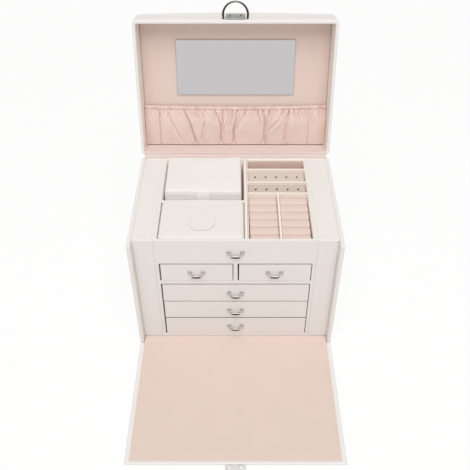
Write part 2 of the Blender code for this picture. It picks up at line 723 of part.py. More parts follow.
def build_drawer(name, x, front_z, box_z):
    """One drawer: front and open box in one, and its pull."""
    slide = pivot(name + "_slide", (sum(x) / 2, FACE_Y, front_z[0]))
    front_x = (x[0] + FRONT_GAP, x[1] - FRONT_GAP)
    box_x = (x[0] + DRAWER_SIDE_PLAY, x[1] - DRAWER_SIDE_PLAY)
    box_y = (FRAME_BACK_Y - FRAME_BOARD / 2, REAR_INNER_Y - DRAWER_REAR_PLAY)
    inner_x = (box_x[0] + DRAWER_WALL, box_x[1] - DRAWER_WALL)
    inner_y = (FRAME_BACK_Y, box_y[1] - DRAWER_WALL)
    floor_z = box_z[0] + DRAWER_FLOOR
    front = board(name, front_x, (FACE_Y, FRAME_BACK_Y), front_z, "white_leather", slide, 0)
    box = board(name + "_box_tool", box_x, box_y, box_z, None, slide, 0)
    hollow_z = (floor_z, box_z[1] + OVERRUN)
    hollow = board(name + "_hollow_tool", inner_x, inner_y, hollow_z, None, slide, 0)
    combine(front, box, "UNION")
    combine(front, hollow, "DIFFERENCE")
    build_pull(name, sum(x) / 2, sum(front_z) / 2, slide, front)


def build_drawers():
    """Two small drawers side by side over three wide ones."""
    half = SMALL_DIVIDER / 2
    front_z = (SMALL_BAY_Z + FRONT_GAP / 2, FASCIA_Z - FRONT_GAP / 2)
    box_z = (SMALL_BAY_Z + FIT, FASCIA_Z - DRAWER_HEAD_ROOM)
    build_drawer("left_small_drawer", (-BAY_X, -half), front_z, box_z)
    build_drawer("right_small_drawer", (half, BAY_X), front_z, box_z)
    for level, name in enumerate(WIDE_DRAWER_NAMES):
        bay_z = WIDE_BAY_Z + level * WIDE_PITCH
        front_z = (bay_z + FRONT_GAP / 2, bay_z + WIDE_PITCH - FRONT_GAP / 2)
        box_z = (bay_z + WIDE_SHELF / 2 + FIT, bay_z + WIDE_PITCH - DRAWER_HEAD_ROOM)
        build_drawer(name, (-BAY_X, BAY_X), front_z, box_z)


def build_cover():
    """Padded cover hinged at its rear edge, with ledges under it and a plain pull tab."""
    x = (-BAY_X + COVER_PLAY, LONG_DIVIDER_LEFT_X - COVER_PLAY)
    y = (FRAME_BACK_Y + COVER_PLAY, CROSS_DIVIDER_FRONT_Y - COVER_PLAY)
    hinge = pivot("cover_hinge", (sum(x) / 2, y[1], CASE_HEIGHT))
    half_x, half_y = (x[1] - x[0]) / 2, (y[1] - y[0]) / 2
    middle = (sum(x) / 2, sum(y) / 2, 0)
    foot_z = CASE_HEIGHT - COVER_THICKNESS
    sections = (
        (foot_z, COVER_EDGE / 2),
        (foot_z + COVER_EDGE / 2, 0),
        (CASE_HEIGHT - COVER_EDGE, 0),
        (CASE_HEIGHT - COVER_EDGE / 3, COVER_EDGE / 3),
        (CASE_HEIGHT, COVER_EDGE),
    )
    mesh = bmesh.new()
    rings = []
    for z, inset in sections:
        edge = outline(half_x - inset, half_y - inset, COVER_CORNER - inset / 2)
        rings.append(at_height(edge, z))
    add_loft(mesh, rings + dome_rings(edge, CASE_HEIGHT, COVER_CROWN))
    add_object("compartment_cover", mesh, "white_leather", middle, hinge)

    ledge_top = foot_z - FIT
    sides = (-BAY_X + FIT, LONG_DIVIDER_LEFT_X - FIT)
    columns = (sides[0], sides[0] + LEDGE_WIDTH, sides[1] - LEDGE_WIDTH, sides[1])
    rear_y = CROSS_DIVIDER_FRONT_Y - FIT
    rows = (rear_y, rear_y - LEDGE_WIDTH, FRAME_BACK_Y + FIT)
    cells = {(0, 0), (1, 0), (2, 0), (0, 1), (2, 1)}
    ledge = bmesh.new()
    depths = (ledge_top - LEDGE_HEIGHT, ledge_top)
    add_lattice(ledge, columns, rows, cells, depths, lambda x, y, z: (x, y, z))
    add_object("cover_ledge", ledge, "white_leather", (0, 0, 0), None)

    half_width, chamfer = TAB_WIDTH / 2, TAB_CHAMFER
    shape = (
        (-half_width, TAB_LENGTH / 2),
        (-half_width, -TAB_LENGTH / 2 + chamfer),
        (-half_width + chamfer, -TAB_LENGTH / 2),
        (half_width - chamfer, -TAB_LENGTH / 2),
        (half_width, -TAB_LENGTH / 2 + chamfer),
        (half_width, TAB_LENGTH / 2),
    )
    foot = CASE_HEIGHT + COVER_CROWN + FIT
    tab = bmesh.new()
    add_loft(tab, [at_height(shape, z) for z in (foot, foot + TAB_THICKNESS)])
    place = (middle[0] + TAB_OFFSET, y[0] + TAB_FRONT_MARGIN + TAB_LENGTH / 2, 0)
    add_object("cover_pull_tab", tab, "white_leather", place, hinge)


def travel_rings(sections):
    """Rings of the travel case's outline: height, and how far each lies inside it."""
    rings = []
    for z, inset in sections:
        corner = max(TRAVEL_CORNER - inset, TRAVEL_SEAM)
        points = outline(TRAVEL_WIDTH / 2 - inset, TRAVEL_DEPTH / 2 - inset, corner)
        rings.append(at_height(points, z))
    return rings


def build_travel_case():
    """Small lift-out case: open base, hinged lid and a closing strap."""
    rear_y = REAR_INNER_Y - TRAVEL_REAR_PLAY
    middle = Vector((TRAVEL_LEFT_X + TRAVEL_WIDTH / 2, rear_y - TRAVEL_DEPTH / 2, 0))
    foot_z = TRAY_Z + FIT
    top_z = foot_z + TRAVEL_HEIGHT
    lid_z = top_z - TRAVEL_LID_HEIGHT
    base_top_z = lid_z - TRAVEL_SEAM
    lift = pivot("travel_case_lift", (middle.x, middle.y, foot_z))
    round_small = TRAVEL_EDGE / 3
    base = bmesh.new()
    add_loft(base, travel_rings((
        (foot_z + TRAVEL_WALL, TRAVEL_WALL),
        (base_top_z, TRAVEL_WALL),
        (base_top_z, 0),
        (foot_z + round_small, 0),
        (foot_z, round_small),
    )))
    add_object("travel_case_base", base, "white_leather", middle, lift)

    hinge_place = (middle.x, rear_y + TRAVEL_HINGE_REACH, lid_z - TRAVEL_SEAM / 2)
    hinge = pivot("travel_case_hinge", hinge_place, lift)
    lid = bmesh.new()
    add_loft(lid, travel_rings((
        (top_z - TRAVEL_WALL, TRAVEL_WALL),
        (lid_z, TRAVEL_WALL),
        (lid_z, 0),
        (top_z - TRAVEL_EDGE, 0),
        (top_z - TRAVEL_EDGE / 2, TRAVEL_EDGE / 7),
        (top_z - TRAVEL_EDGE / 7, TRAVEL_EDGE / 2),
        (top_z, TRAVEL_EDGE),
    )))
    add_object("travel_case_lid", lid, "white_leather", middle, hinge)

    front_y = rear_y - TRAVEL_DEPTH - FIT
    strap_top = top_z - STRAP_TOP_DROP
    x = (middle.x - STRAP_WIDTH / 2, middle.x + STRAP_WIDTH / 2)
    y = (front_y - STRAP_THICKNESS, front_y)
    z = (strap_top - STRAP_LENGTH, strap_top)
    board("travel_case_strap", x, y, z, "white_leather", hinge, FRAME_EDGE)


def build_lid_shell(hinge):
    """Lid: straight padded walls that swell towards a softly crowned top, hollow below."""
    half_x, half_y = LID_WIDTH / 2, LID_LENGTH / 2
    edge_z = LID_HEIGHT - LID_CROWN - LID_TOP_ROUND
    inner_half_y = (LID_LENGTH - LID_FRONT_BOARD - LID_REAR_BOARD) / 2
    inner_middle_y = (LID_FRONT_BOARD - LID_REAR_BOARD) / 2
    inner_half_x = half_x - LID_SIDE_BOARD
    hollow = outline(inner_half_x, inner_half_y, LID_INNER_CORNER, middle_y=inner_middle_y)
    rings = [at_height(hollow, z) for z in (LID_INNER_DEPTH, 0)]
    for z, inset in ((0, LID_EDGE), (LID_EDGE, 0), (LID_STRAIGHT, 0)):
        rings.append(at_height(outline(half_x - inset, half_y - inset, LID_CORNER - inset), z))
    for step in range(1, LID_SWELL_STEPS + 1):
        share = step / LID_SWELL_STEPS
        z = LID_STRAIGHT + share * (edge_z - LID_STRAIGHT)
        swell = (LID_SIDE_SWELL * smooth(share), LID_END_SWELL * smooth(share))
        rings.append(at_height(outline(half_x, half_y, LID_CORNER, swell), z))
    for step in range(1, LID_ROUND_STEPS + 1):
        angle = math.pi / 2 * step / LID_ROUND_STEPS
        inset = LID_TOP_ROUND * (1 - math.cos(angle))
        z = edge_z + LID_TOP_ROUND * math.sin(angle)
        edge = outline(half_x - inset, half_y - inset, LID_CORNER - inset, swell)
        rings.append(at_height(edge, z))
    mesh = bmesh.new()
    add_loft(mesh, rings + dome_rings(edge, z, LID_CROWN))
    shell = add_object("lid_shell", mesh, "white_leather", (0, 0, RIM_Z), hinge)
    shell.data.shade_smooth()
    shell.data.set_sharp_from_angle(angle=math.radians(40))


def build_lid_lining(hinge):
    """Lining board and mirror inside the lid."""
    roof_z = RIM_Z + LID_INNER_DEPTH - FIT
    panel_z = (roof_z - LID_PANEL, roof_z)
    half = LID_WIDTH / 2 - LID_SIDE_BOARD - LID_PANEL_PLAY
    front_y = -LID_LENGTH / 2 + LID_FRONT_BOARD + LID_PANEL_PLAY
    rear_y = LID_LENGTH / 2 - LID_REAR_BOARD - LID_PANEL_PLAY
    board("lid_panel", (-half, half), (front_y, rear_y), panel_z, "pink_velvet", hinge, 0)
    mirror_y = (MIRROR_FRONT_MARGIN - LID_LENGTH / 2, LID_LENGTH / 2 - MIRROR_HINGE_MARGIN)
    mirror_z = (panel_z[0] - FIT - MIRROR_THICKNESS, panel_z[0] - FIT)
    mirror_x = (-MIRROR_WIDTH / 2, MIRROR_WIDTH / 2)
    board("mirror", mirror_x, mirror_y, mirror_z, "mirror_glass", hinge, FRAME_EDGE)
    return panel_z[0] - FIT, rear_y


def pocket_rise(x, share, width):
    """How far the gathered cloth stands off the lining, from its foot (0) to its hem (1)."""
    belly = math.sin(math.pi * share) * POCKET_BULGE
    rise = POCKET_FOOT_RISE + (POCKET_HEM_RISE - POCKET_FOOT_RISE) * share * share + belly
    for hem_share, foot_share, depth_share in FOLD_SHARES:
        place = (foot_share + (hem_share - foot_share) * share - 0.5) * width
        reach = (x - place) / FOLD_WIDTH
        rise -= FOLD_DEPTH * depth_share * math.exp(-reach * reach) * (0.4 + 0.6 * share * (2 - share))
    return max(rise, POCKET_HEM_RISE / 3)


def build_pocket(hinge, back_z, rear_y):
    """Gathered elastic pocket: main folds drawn in at the hem and at the foot."""
    width = LID_WIDTH - 2 * (LID_SIDE_BOARD + LID_PANEL_PLAY)
    mesh = bmesh.new()
    rings = []
    for column in range(POCKET_COLUMNS + 1):
        across = column / POCKET_COLUMNS
        x = (across - 0.5) * width
        length = POCKET_LENGTH - POCKET_HEM_SAG * math.sin(math.pi * across)
        ring = []
        for row in range(POCKET_ROWS + 1):
            share = row / POCKET_ROWS
            ring.append((x, rear_y - share * length, back_z - pocket_rise(x, share, width)))
        ring.append((x, rear_y - length, back_z))
        ring.append((x, rear_y, back_z))
        rings.append(ring)
    add_loft(mesh, rings)
    pocket = add_object("lid_pocket", mesh, "pink_cloth", (0, 0, 0), hinge)
    pocket.data.shade_smooth()
    pocket.data.set_sharp_from_angle(angle=math.radians(60))


def build_leaf(name, x, upward, knuckles, parent):
    """One hinge leaf: a plate on one side of the axis, with necks and knuckles round it."""
    axis = (HINGE_Y, CASE_HEIGHT)
    plate_y = (REAR_Y + FIT, REAR_Y + FIT + HINGE_LEAF_THICKNESS)
    near = axis[1] + upward * (HINGE_BARREL_RADIUS + FIT)
    plate_z = sorted((near, near + upward * HINGE_LEAF_LENGTH))
    neck_z = sorted((axis[1], near + upward * OVERRUN))
    half = HINGE_LEAF_WIDTH / 2
    barrels, necks = bmesh.new(), bmesh.new()
    for start, end in knuckles:
        add_rod(barrels, (x + start, *axis), (x + end, *axis), HINGE_BARREL_RADIUS, HINGE_SIDES)
        add_box(necks, (x + start, x + end), plate_y, neck_z)
    leaf = board(name, (x - half, x + half), plate_y, plate_z, "nickel", parent, 0)
    combine(leaf, add_object(name + "_barrel_tool", barrels, None, (0, 0, 0), parent), "UNION")
    combine(leaf, add_object(name + "_neck_tool", necks, None, (0, 0, 0), parent), "UNION")
    return leaf


def build_hinges(hinge):
    """Two nickel hinges: the case leaves carry the pins, the lid leaves turn on them."""
    half = HINGE_LEAF_WIDTH / 2
    inner = half - HINGE_KNUCKLE
    outer_knuckles = ((-half, -inner), (inner, half))
    middle_knuckle = ((-inner + FIT, inner - FIT),)
    for side, x in (("left", -HINGE_X), ("right", HINGE_X)):
        pins, bores = bmesh.new(), bmesh.new()
        start, end = ((x + reach, HINGE_Y, CASE_HEIGHT) for reach in (OVERRUN - half, half - OVERRUN))
        add_rod(pins, start, end, HINGE_PIN_RADIUS, HINGE_SIDES)
        add_rod(bores, start, end, HINGE_PIN_RADIUS + HINGE_PIN_PLAY, HINGE_SIDES)
        case_leaf = build_leaf(side + "_hinge_case_leaf", x, -1, outer_knuckles, None)
        lid_leaf = build_leaf(side + "_hinge_lid_leaf", x, 1, middle_knuckle, hinge)
        combine(case_leaf, add_object(side + "_pin_tool", pins, None, (0, 0, 0), None), "UNION")
        combine(lid_leaf, add_object(side + "_bore_tool", bores, None, (0, 0, 0), hinge), "DIFFERENCE")


def build_keeper(hinge):
    """Keeper plate and block on the lid's front wall, with catch studs and ring pins."""
    wall_y = -LID_LENGTH / 2 - FIT
    plate_y = wall_y - KEEPER_PLATE
    foot_z = RIM_Z + KEEPER_LIFT
    top_z = foot_z + KEEPER_HEIGHT
    half = KEEPER_WIDTH / 2
    axis = (wall_y + FIT - RING_AXIS_REACH, RIM_Z + RING_AXIS_LIFT)
    plate, block, rods = bmesh.new(), bmesh.new(), bmesh.new()
    add_box(plate, (-half, half), (plate_y, wall_y), (foot_z, top_z))
    block_half = half - FIT
    block_z = (top_z - KEEPER_BLOCK_HEIGHT, top_z - FIT)
    add_box(block, (-block_half, block_half), (wall_y - KEEPER_BLOCK, wall_y - FIT), block_z)
    stud_z = BASE_BOARD + FLAP_LENGTH + CATCH_HOLE_REACH
    eye_x = math.sqrt(RING_ARC_RADIUS ** 2 - RING_ARC_REACH ** 2)
    for sign in (-1, 1):
        stud_x = sign * STUD_PITCH / 2
        root, tip = plate_y + KEEPER_PLATE / 2, plate_y - STUD_LENGTH
        add_rod(rods, (stud_x, root, stud_z), (stud_x, tip, stud_z), STUD_RADIUS, POST_SIDES)
        start, end = sign * (half - OVERRUN), sign * (eye_x + RING_EYE_WIDTH / 2 + FIT)
        add_rod(rods, (start, *axis), (end, *axis), RING_PIN_RADIUS, HOLE_SIDES)
    keeper = add_object("latch_keeper", plate, "nickel", (0, 0, 0), hinge)
    for name, mesh in (("keeper_block_tool", block), ("keeper_rods_tool", rods)):
        combine(keeper, add_object(name, mesh, None, (0, 0, 0), hinge), "UNION")
    return axis


def build_pull_ring(hinge, axis):
    """Round pull ring that swings on the keeper's pins, standing square to the lid's front."""
    swing = pivot("pull_ring_pivot", (0, *axis), hinge)
    centre_y = -RING_ARC_REACH
    dip = math.asin(RING_ARC_REACH / RING_ARC_RADIUS)
    angles = [-dip + (math.pi + 2 * dip) * i / RING_ARC_STEPS for i in range(RING_ARC_STEPS + 1)]
    path = [(RING_ARC_RADIUS * math.cos(a), centre_y - RING_ARC_RADIUS * math.sin(a), 0) for a in angles]
    wire, eyes, bores = bmesh.new(), bmesh.new(), bmesh.new()
    add_tube(wire, path, RING_WIRE_RADIUS, RING_SIDES)
    for sign in (-1, 1):
        eye_x = sign * path[0][0]
        start, end = eye_x - RING_EYE_WIDTH / 2, eye_x + RING_EYE_WIDTH / 2
        add_rod(eyes, (start, 0, 0), (end, 0, 0), RING_EYE_RADIUS, POST_SIDES)
        hole = ((start - OVERRUN, 0, 0), (end + OVERRUN, 0, 0))
        add_rod(bores, *hole, RING_PIN_RADIUS + RING_PIN_PLAY, HOLE_SIDES)
    place = (0, *axis)
    ring = add_object("pull_ring", wire, "nickel", place, swing)
    combine(ring, add_object("ring_eye_tool", eyes, None, place, swing), "UNION")
    combine(ring, add_object("ring_bore_tool", bores, None, place, swing), "DIFFERENCE")


def build_flap():
    """Front flap laid open, its lining, and the catch plate let into its underside."""
    fold = pivot("flap_fold", (0, FOLD_Y, BASE_BOARD))
    end_y = FOLD_Y - FLAP_LENGTH
    half = CASE_WIDTH / 2
    top = BASE_BOARD
    flap = board("flap_board", (-half, half), (end_y, FOLD_Y), (top - FLAP_BOARD, top),
                 "white_leather", fold)
    catch_half = CATCH_WIDTH / 2
    foot = top - FLAP_BOARD
    seat_x = (-catch_half - FIT, catch_half + FIT)
    seat_y = (end_y - OVERRUN, end_y + CATCH_SEAT + FIT)
    seat_z = (foot - OVERRUN, foot + CATCH_INSET + CATCH_THICKNESS + FIT)
    combine(flap, board("catch_seat_tool", seat_x, seat_y, seat_z, None, fold, 0), "DIFFERENCE")
    plate_y = (end_y - CATCH_REACH, end_y + CATCH_SEAT)
    plate_z = (foot + CATCH_INSET, foot + CATCH_INSET + CATCH_THICKNESS)
    catch = board("flap_catch", (-catch_half, catch_half), plate_y, plate_z, "nickel", fold, 0)
    holes = bmesh.new()
    for sign in (-1, 1):
        x, y = sign * STUD_PITCH / 2, end_y - CATCH_HOLE_REACH
        add_rod(holes, (x, y, foot - OVERRUN), (x, y, top), CATCH_HOLE_RADIUS, POST_SIDES)
    combine(catch, add_object("catch_hole_tool", holes, None, (0, 0, 0), fold), "DIFFERENCE")
    x = (-half + FLAP_SIDE_BORDER, half - FLAP_SIDE_BORDER)
    y = (end_y + FLAP_END_BORDER, FOLD_Y - FOLD_HALF_GAP)
    board("flap_lining", x, y, (top + FIT, top + FIT + LINING), "pink_velvet", fold, 0)


def build():
    """The whole box, with the lid turned open at the end."""
    for obj in list(bpy.data.objects):
        bpy.data.objects.remove(obj, do_unlink=True)
    build_case_walls()
    build_wings()
    build_partitions()
    frame = build_front_frame()
    build_shelves()
    build_tray_dividers()
    build_earring_pads()
    build_ring_rolls()
    build_pull("fascia", 0, CASE_HEIGHT - FASCIA_HEIGHT / 2, None, frame)
    build_drawers()
    build_cover()
    build_travel_case()
    hinge = pivot("lid_hinge", (0, HINGE_Y, CASE_HEIGHT))
    build_lid_shell(hinge)
    back_z, rear_y = build_lid_lining(hinge)
    build_pocket(hinge, back_z, rear_y)
    build_hinges(hinge)
    axis = build_keeper(hinge)
    build_pull_ring(hinge, axis)
    build_flap()
    hinge.rotation_euler.x = -math.radians(LID_OPENING)


build()
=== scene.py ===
"""Looks of the tiered jewelry box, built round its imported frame.

Leather boards, velvet linings, padded pieces, the gathered pocket and the nickel fittings
are modelled here one by one. Lengths are in metres, in the frame's own axes. What belongs
to the lid is modelled shut and then turned open about the lid's hinge.
"""

import json
import math

import bmesh
import bpy
from mathutils import Matrix, Vector, noise

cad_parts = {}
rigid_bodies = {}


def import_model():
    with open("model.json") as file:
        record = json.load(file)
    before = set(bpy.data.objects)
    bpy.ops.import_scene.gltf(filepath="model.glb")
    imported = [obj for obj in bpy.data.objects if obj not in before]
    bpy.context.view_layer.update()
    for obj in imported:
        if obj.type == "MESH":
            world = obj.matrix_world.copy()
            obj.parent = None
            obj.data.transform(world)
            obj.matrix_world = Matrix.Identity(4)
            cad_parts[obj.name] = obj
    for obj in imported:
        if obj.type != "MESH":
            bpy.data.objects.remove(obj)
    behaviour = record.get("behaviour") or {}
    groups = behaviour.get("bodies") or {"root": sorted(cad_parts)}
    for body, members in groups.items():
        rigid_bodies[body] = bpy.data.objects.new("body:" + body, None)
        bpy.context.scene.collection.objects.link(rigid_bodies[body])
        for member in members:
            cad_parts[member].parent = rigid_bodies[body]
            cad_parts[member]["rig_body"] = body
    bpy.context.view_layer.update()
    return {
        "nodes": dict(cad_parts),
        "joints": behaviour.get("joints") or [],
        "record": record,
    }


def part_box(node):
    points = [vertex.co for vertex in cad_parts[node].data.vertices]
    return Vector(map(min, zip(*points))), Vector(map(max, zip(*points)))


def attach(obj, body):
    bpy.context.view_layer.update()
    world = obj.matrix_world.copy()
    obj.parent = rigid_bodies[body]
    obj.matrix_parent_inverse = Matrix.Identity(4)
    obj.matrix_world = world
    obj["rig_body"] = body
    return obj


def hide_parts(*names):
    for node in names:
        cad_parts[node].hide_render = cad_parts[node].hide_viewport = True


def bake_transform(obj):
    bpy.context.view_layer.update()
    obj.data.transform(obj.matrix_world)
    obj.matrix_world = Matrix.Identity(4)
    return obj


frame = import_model()
NODES = frame["nodes"]
JOINTS = {joint["name"]: joint for joint in frame["joints"]}
OPENINGS = {opening["name"]: opening["box_m"] for opening in frame["record"]["physics"]["openings"]}

MM = 0.001

# Gap between pieces that touch, the distance below which corners are one, and what counts as near
FIT = 0.3 * MM
WELD = 0.002 * MM
NEAR = 25 * WELD

DRAWERS = ("left_small_drawer", "right_small_drawer", "upper_drawer", "middle_drawer", "bottom_drawer")

# Base colours of the finishes, linear
WHITE = (0.858, 0.834, 0.812)
# Cream of rims, dividers and linings: their peach tone, also made lighter than the white leather as a
# painted highlight
HIGHLIT_CREAM = (0.96, 0.885, 0.82)
# Travel case leather: the white leather made lighter, as painted light against the shade of its bay
LIT_TRAVEL_WHITE = (0.885, 0.868, 0.856)
# Strap leather lighter than the case's, as painted light on the strap's upward-tilted face
LIT_STRAP_WHITE = (0.945, 0.925, 0.905)
BLUSH = (0.765, 0.625, 0.56)
# Rear bay velvet: the blush velvet made darker, as painted shade in the bay
SHADED_BAY_BLUSH = (0.64, 0.49, 0.425)
LID_BLUSH = (0.78, 0.632, 0.578)
HINGE_BLUSH = (0.775, 0.65, 0.62)
POCKET_BLUSH = (0.83, 0.66, 0.60)
ROLL_BLUSH = (0.775, 0.635, 0.582)
BEIGE = (0.66, 0.58, 0.515)
# Front earring pad: the same beige velvet, darker as painted shade
SHADED_BEIGE = (0.59, 0.505, 0.45)
# Brown inside the earring post holes, as painted shade
HOLE_SHADE_BROWN = (0.10, 0.07, 0.055)
# Raw board colour, darkened to near black as painted shade of the drawer gaps
GAP_SHADE_BROWN = (0.045, 0.033, 0.025)
# Tan of the drawer fronts' edges, darkened as painted shade of the gaps between drawers
GAP_SHADE_TAN = (0.30, 0.245, 0.195)
THREAD = (0.83, 0.79, 0.75)
NICKEL = (0.40, 0.40, 0.39)
BRIGHT_NICKEL = (0.70, 0.70, 0.69)
PULL_NICKEL = (0.52, 0.49, 0.475)
# Lighter than the other nickel, as a painted reflection of the pale surroundings on the bail's legs
BAIL_NICKEL = (0.60, 0.585, 0.57)
# Near black for painted shade and reflection on the ring's lower sides and the bail's grip
PAINTED_SHADE_DARK = (0.03, 0.028, 0.026)
SILVER = (0.57, 0.55, 0.56)
GROUND_GLASS = (0.55, 0.56, 0.58)

# Leather: size of a grain cell, depth of its creases, and the soft swell of the padding
GRAIN_CELL = 1.1 * MM
GRAIN_DEPTH = 0.05 * MM
SWELL_SIZE = 22 * MM
SWELL_DEPTH = 0.25 * MM

# Velvet and woven cloth
PILE_SIZE = 0.45 * MM
PILE_DEPTH = 0.12 * MM
NAP_SIZE = 35 * MM
THREAD_PITCH = 0.4 * MM
THREAD_DEPTH = 0.05 * MM
SLUB_SIZE = 14 * MM

# Nickel, raw board and mirror
CLOUD_SIZE = 2.5 * MM
WEAR_SIZE = 0.6 * MM
WEAR_DEPTH = 0.01 * MM
FIBRE_SIZE = 0.8 * MM
FIBRE_DEPTH = 0.05 * MM
GROUND_BORDER = 1.5 * MM
HAZE_SIZE = 30 * MM

# Roundings of the boards, and the angles in degrees above which an edge is rounded
THIN_ROUND = 0.35 * MM
SEAM_ROUND = 0.2 * MM
BEND_ROUND = 1.4 * MM
ROUND_STEPS = 3
LEAST_ANGLE = 25
FACETED = 60

# Drawer fronts: depth of the front board, its wrapped lip and the extra shadow gap beside it
FRONT_DEPTH = 4.5 * MM
FRONT_LIP = 0.5 * MM
SHADOW_GAP = 0.9 * MM
# A face looks sideways where its normal has less than this along Y
SIDEWAYS = 0.3

# Case face and the lid's turn
FRONT_FRAME_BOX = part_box("front_frame")
FACE_Y = FRONT_FRAME_BOX[0].y
LID_PIVOT = Vector(JOINTS["lid_hinge"]["pos_m"])
LID_TURN = math.radians(-JOINTS["lid_hinge"]["range_deg"][0])
OPEN = (
    Matrix.Translation(LID_PIVOT)
    @ Matrix.Rotation(LID_TURN, 4, Vector(JOINTS["lid_hinge"]["axis"]))
    @ Matrix.Translation(-LID_PIVOT)
)

# Lid, shut: half sizes, hollow and roundings
LID_HALF_WIDTH = 143.5 * MM
LID_HALF_LENGTH = 100 * MM
LID_RIM_Z = 200.3 * MM
LID_HEIGHT = 45 * MM
LID_HOLLOW = 39 * MM
LID_SIDE_WALL = 4.5 * MM
LID_FRONT_WALL = 5.5 * MM
LID_REAR_WALL = 4.5 * MM
LID_CORNER = 6 * MM
LID_INNER_CORNER = 1.5 * MM
LID_RIM_OUTER_ROUND = 1.8 * MM
LID_RIM_INNER_ROUND = 1.1 * MM
LID_STRAIGHT = 14 * MM
LID_SWELL = (0.8 * MM, 2.3 * MM)
LID_TOP_ROUND = 4 * MM
LID_CROWN = 2.5 * MM
LID_WALL_STEPS = 9
LID_PANEL_Z = (237 * MM, 239 * MM)
LID_PANEL_GAP = 1.2 * MM
DOME_SHARES = (0.06, 0.14, 0.24, 0.36, 0.5, 0.64, 0.78, 0.9, 0.97)

# Gathered pocket in the lid, shut: the lining board it lies on, its foot and its hem
POCKET_HALF_WIDTH = 138.5 * MM
POCKET_BACK_Z = 236.7 * MM
POCKET_FOOT_Y = 93.8 * MM
POCKET_LENGTH = 61.8 * MM
POCKET_HEM_SAG = 2.3 * MM
POCKET_RISE = 7.6 * MM
POCKET_HEM_FALL = 4 * MM
POCKET_BULGE = 1.8 * MM
POCKET_LEAST_RISE = 0.9 * MM
POCKET_END_RUN = 14 * MM
POCKET_END_FALL = 1.5 * MM
POCKET_CLOTH = 0.5 * MM
POCKET_FLAT = (0.345, 0.064)
POCKET_COLUMNS = 552
POCKET_ROWS = 48
HEM_SHARE = 0.905
HEM_RUFFLE = 0.5 * MM
HEM_GROOVE = 0.8 * MM
HEM_PUFF = 0.6 * MM
HEM_EDGE = 0.2 * MM
HEM_ROWS = 8
CLOTH_WAVE_SIZE = 15 * MM
CLOTH_WAVE_DEPTH = 0.9 * MM
GATHERS = 92
GATHER_DEPTH = 0.85 * MM
SHORT_CREASES = 26
CREASE_WIDTH = 1.2 * MM
CREASE_REACH = 6
CREASE_DEPTH = 4.6 * MM
CREASE_FADE = 7 * MM
CREASE_END_SHARE = 0.35
# Ridges beside a crease: height, place and spread, as shares of its depth and width
CREASE_RIDGES = ((0.42, 2.3, 1.3), (0.2, -2.6, 1.6))
SEAM_SHARES = (0.082, 0.903)
SEAM_DEPTH = 2.4 * MM
SEAM_WIDTH = 0.75 * MM
# Each crease: how deep, how wide, and its points from hem to foot, as shares of width and length
CREASES = (
    (0.35, 1.6, ((0.112, 0.90), (0.198, 0.08))),
    (0.9, 1.0, ((0.211, 0.90), (0.247, 0.60), (0.283, 0.02))),
    (0.5, 0.8, ((0.275, 0.92), (0.295, 0.70))),
    (0.5, 0.8, ((0.303, 0.92), (0.323, 0.72))),
    (0.6, 1.2, ((0.330, 0.62), (0.308, 0.10))),
    (0.4, 0.8, ((0.339, 0.92), (0.355, 0.70))),
    (0.9, 1.1, ((0.390, 0.86), (0.418, 0.54), (0.420, 0.02))),
    (0.7, 0.8, ((0.428, 0.94), (0.430, 0.30))),
    (0.5, 0.9, ((0.466, 0.92), (0.450, 0.50))),
    (0.5, 0.9, ((0.486, 0.94), (0.470, 0.52))),
    (0.9, 1.0, ((0.514, 0.94), (0.490, 0.42), (0.490, 0.02))),
    (0.35, 2.4, ((0.562, 0.88), (0.498, 0.36))),
    (0.6, 0.9, ((0.622, 0.94), (0.634, 0.55))),
    (1.0, 1.1, ((0.649, 0.94), (0.665, 0.62), (0.656, 0.03))),
    (0.8, 1.0, ((0.689, 0.94), (0.677, 0.58), (0.662, 0.10))),
    (0.5, 1.5, ((0.769, 0.94), (0.745, 0.66), (0.680, 0.34))),
    (0.6, 1.1, ((0.797, 0.92), (0.776, 0.46), (0.772, 0.02))),
    (0.4, 0.9, ((0.845, 0.94), (0.850, 0.60))),
    (0.5, 0.9, ((0.936, 0.92), (0.908, 0.56))),
)

# Velvet hinge cloth of the lid, shut: down the rear inner wall, round the rim and over to the case
HINGE_CLOTH = 0.3 * MM
HINGE_CLOTH_HALF_WIDTH = 138.6 * MM
HINGE_CLOTH_END_Y = 98.9 * MM
HINGE_CLOTH_TAIL = Vector((0, -0.7, 0.02)) * MM
SHEET_COLUMNS = 90

# Velvet on the flap and across its fold
VELVET = 0.55 * MM
VELVET_STEP = 1.5 * MM
VELVET_FINE_STEP = 0.25 * MM
VELVET_EDGE_FALL = 0.25 * MM
VELVET_EDGE_RUN = 1.2 * MM
VELVET_WAVE = 0.05 * MM
VELVET_WAVE_SIZE = 25 * MM
FOLD_BAND = 3 * MM
FOLD_DIP = 0.6 * MM

# Box-shaped linings, and how far two of them stay below the top of their box
LINING = 0.5 * MM
LINING_CORNER = 1.6 * MM
LINING_GROW = 0.15 * MM
REAR_BAY_MARGIN = 2.5 * MM
TRAVEL_LINING_MARGIN = 1.2 * MM

# Ring rolls
ROLLS = 6
ROLL_GAP = 0.5 * MM
ROLL_FOOT = 1.5 * MM
ROLL_END = 2.2 * MM
ROLL_SQUARENESS = 0.62
ROLL_CROWN = 5.6 * MM
ROLL_SHORT = 1.3 * MM
ROLL_STATIONS = 40
ROLL_ARC_STEPS = 14
ROLL_WAVE = 0.2 * MM
ROLL_WAVE_SIZE = 9 * MM

# Earring pads: fall of the slope, row of post holes and their soft rims
PAD_FALL = 7 * MM
PAD_ROUND = 1.3 * MM
PAD_STEP = 2 * MM
PAD_WAVE = 0.25 * MM
PAD_WAVE_SIZE = 9 * MM
HOLE_COUNT = 5
HOLE_MARGIN = 11.1 * MM
HOLE_ROW_SHARE = 0.68
HOLE_RADIUS = 1.4 * MM
HOLE_DEPTH = 6 * MM
HOLE_RIM = 0.3 * MM
HOLE_RIM_WIDTH = 0.5 * MM
HOLE_STEPS = (0, 0.5, 1, 1.3, 1.6, 1.9, 2.3, 3, 4.2)

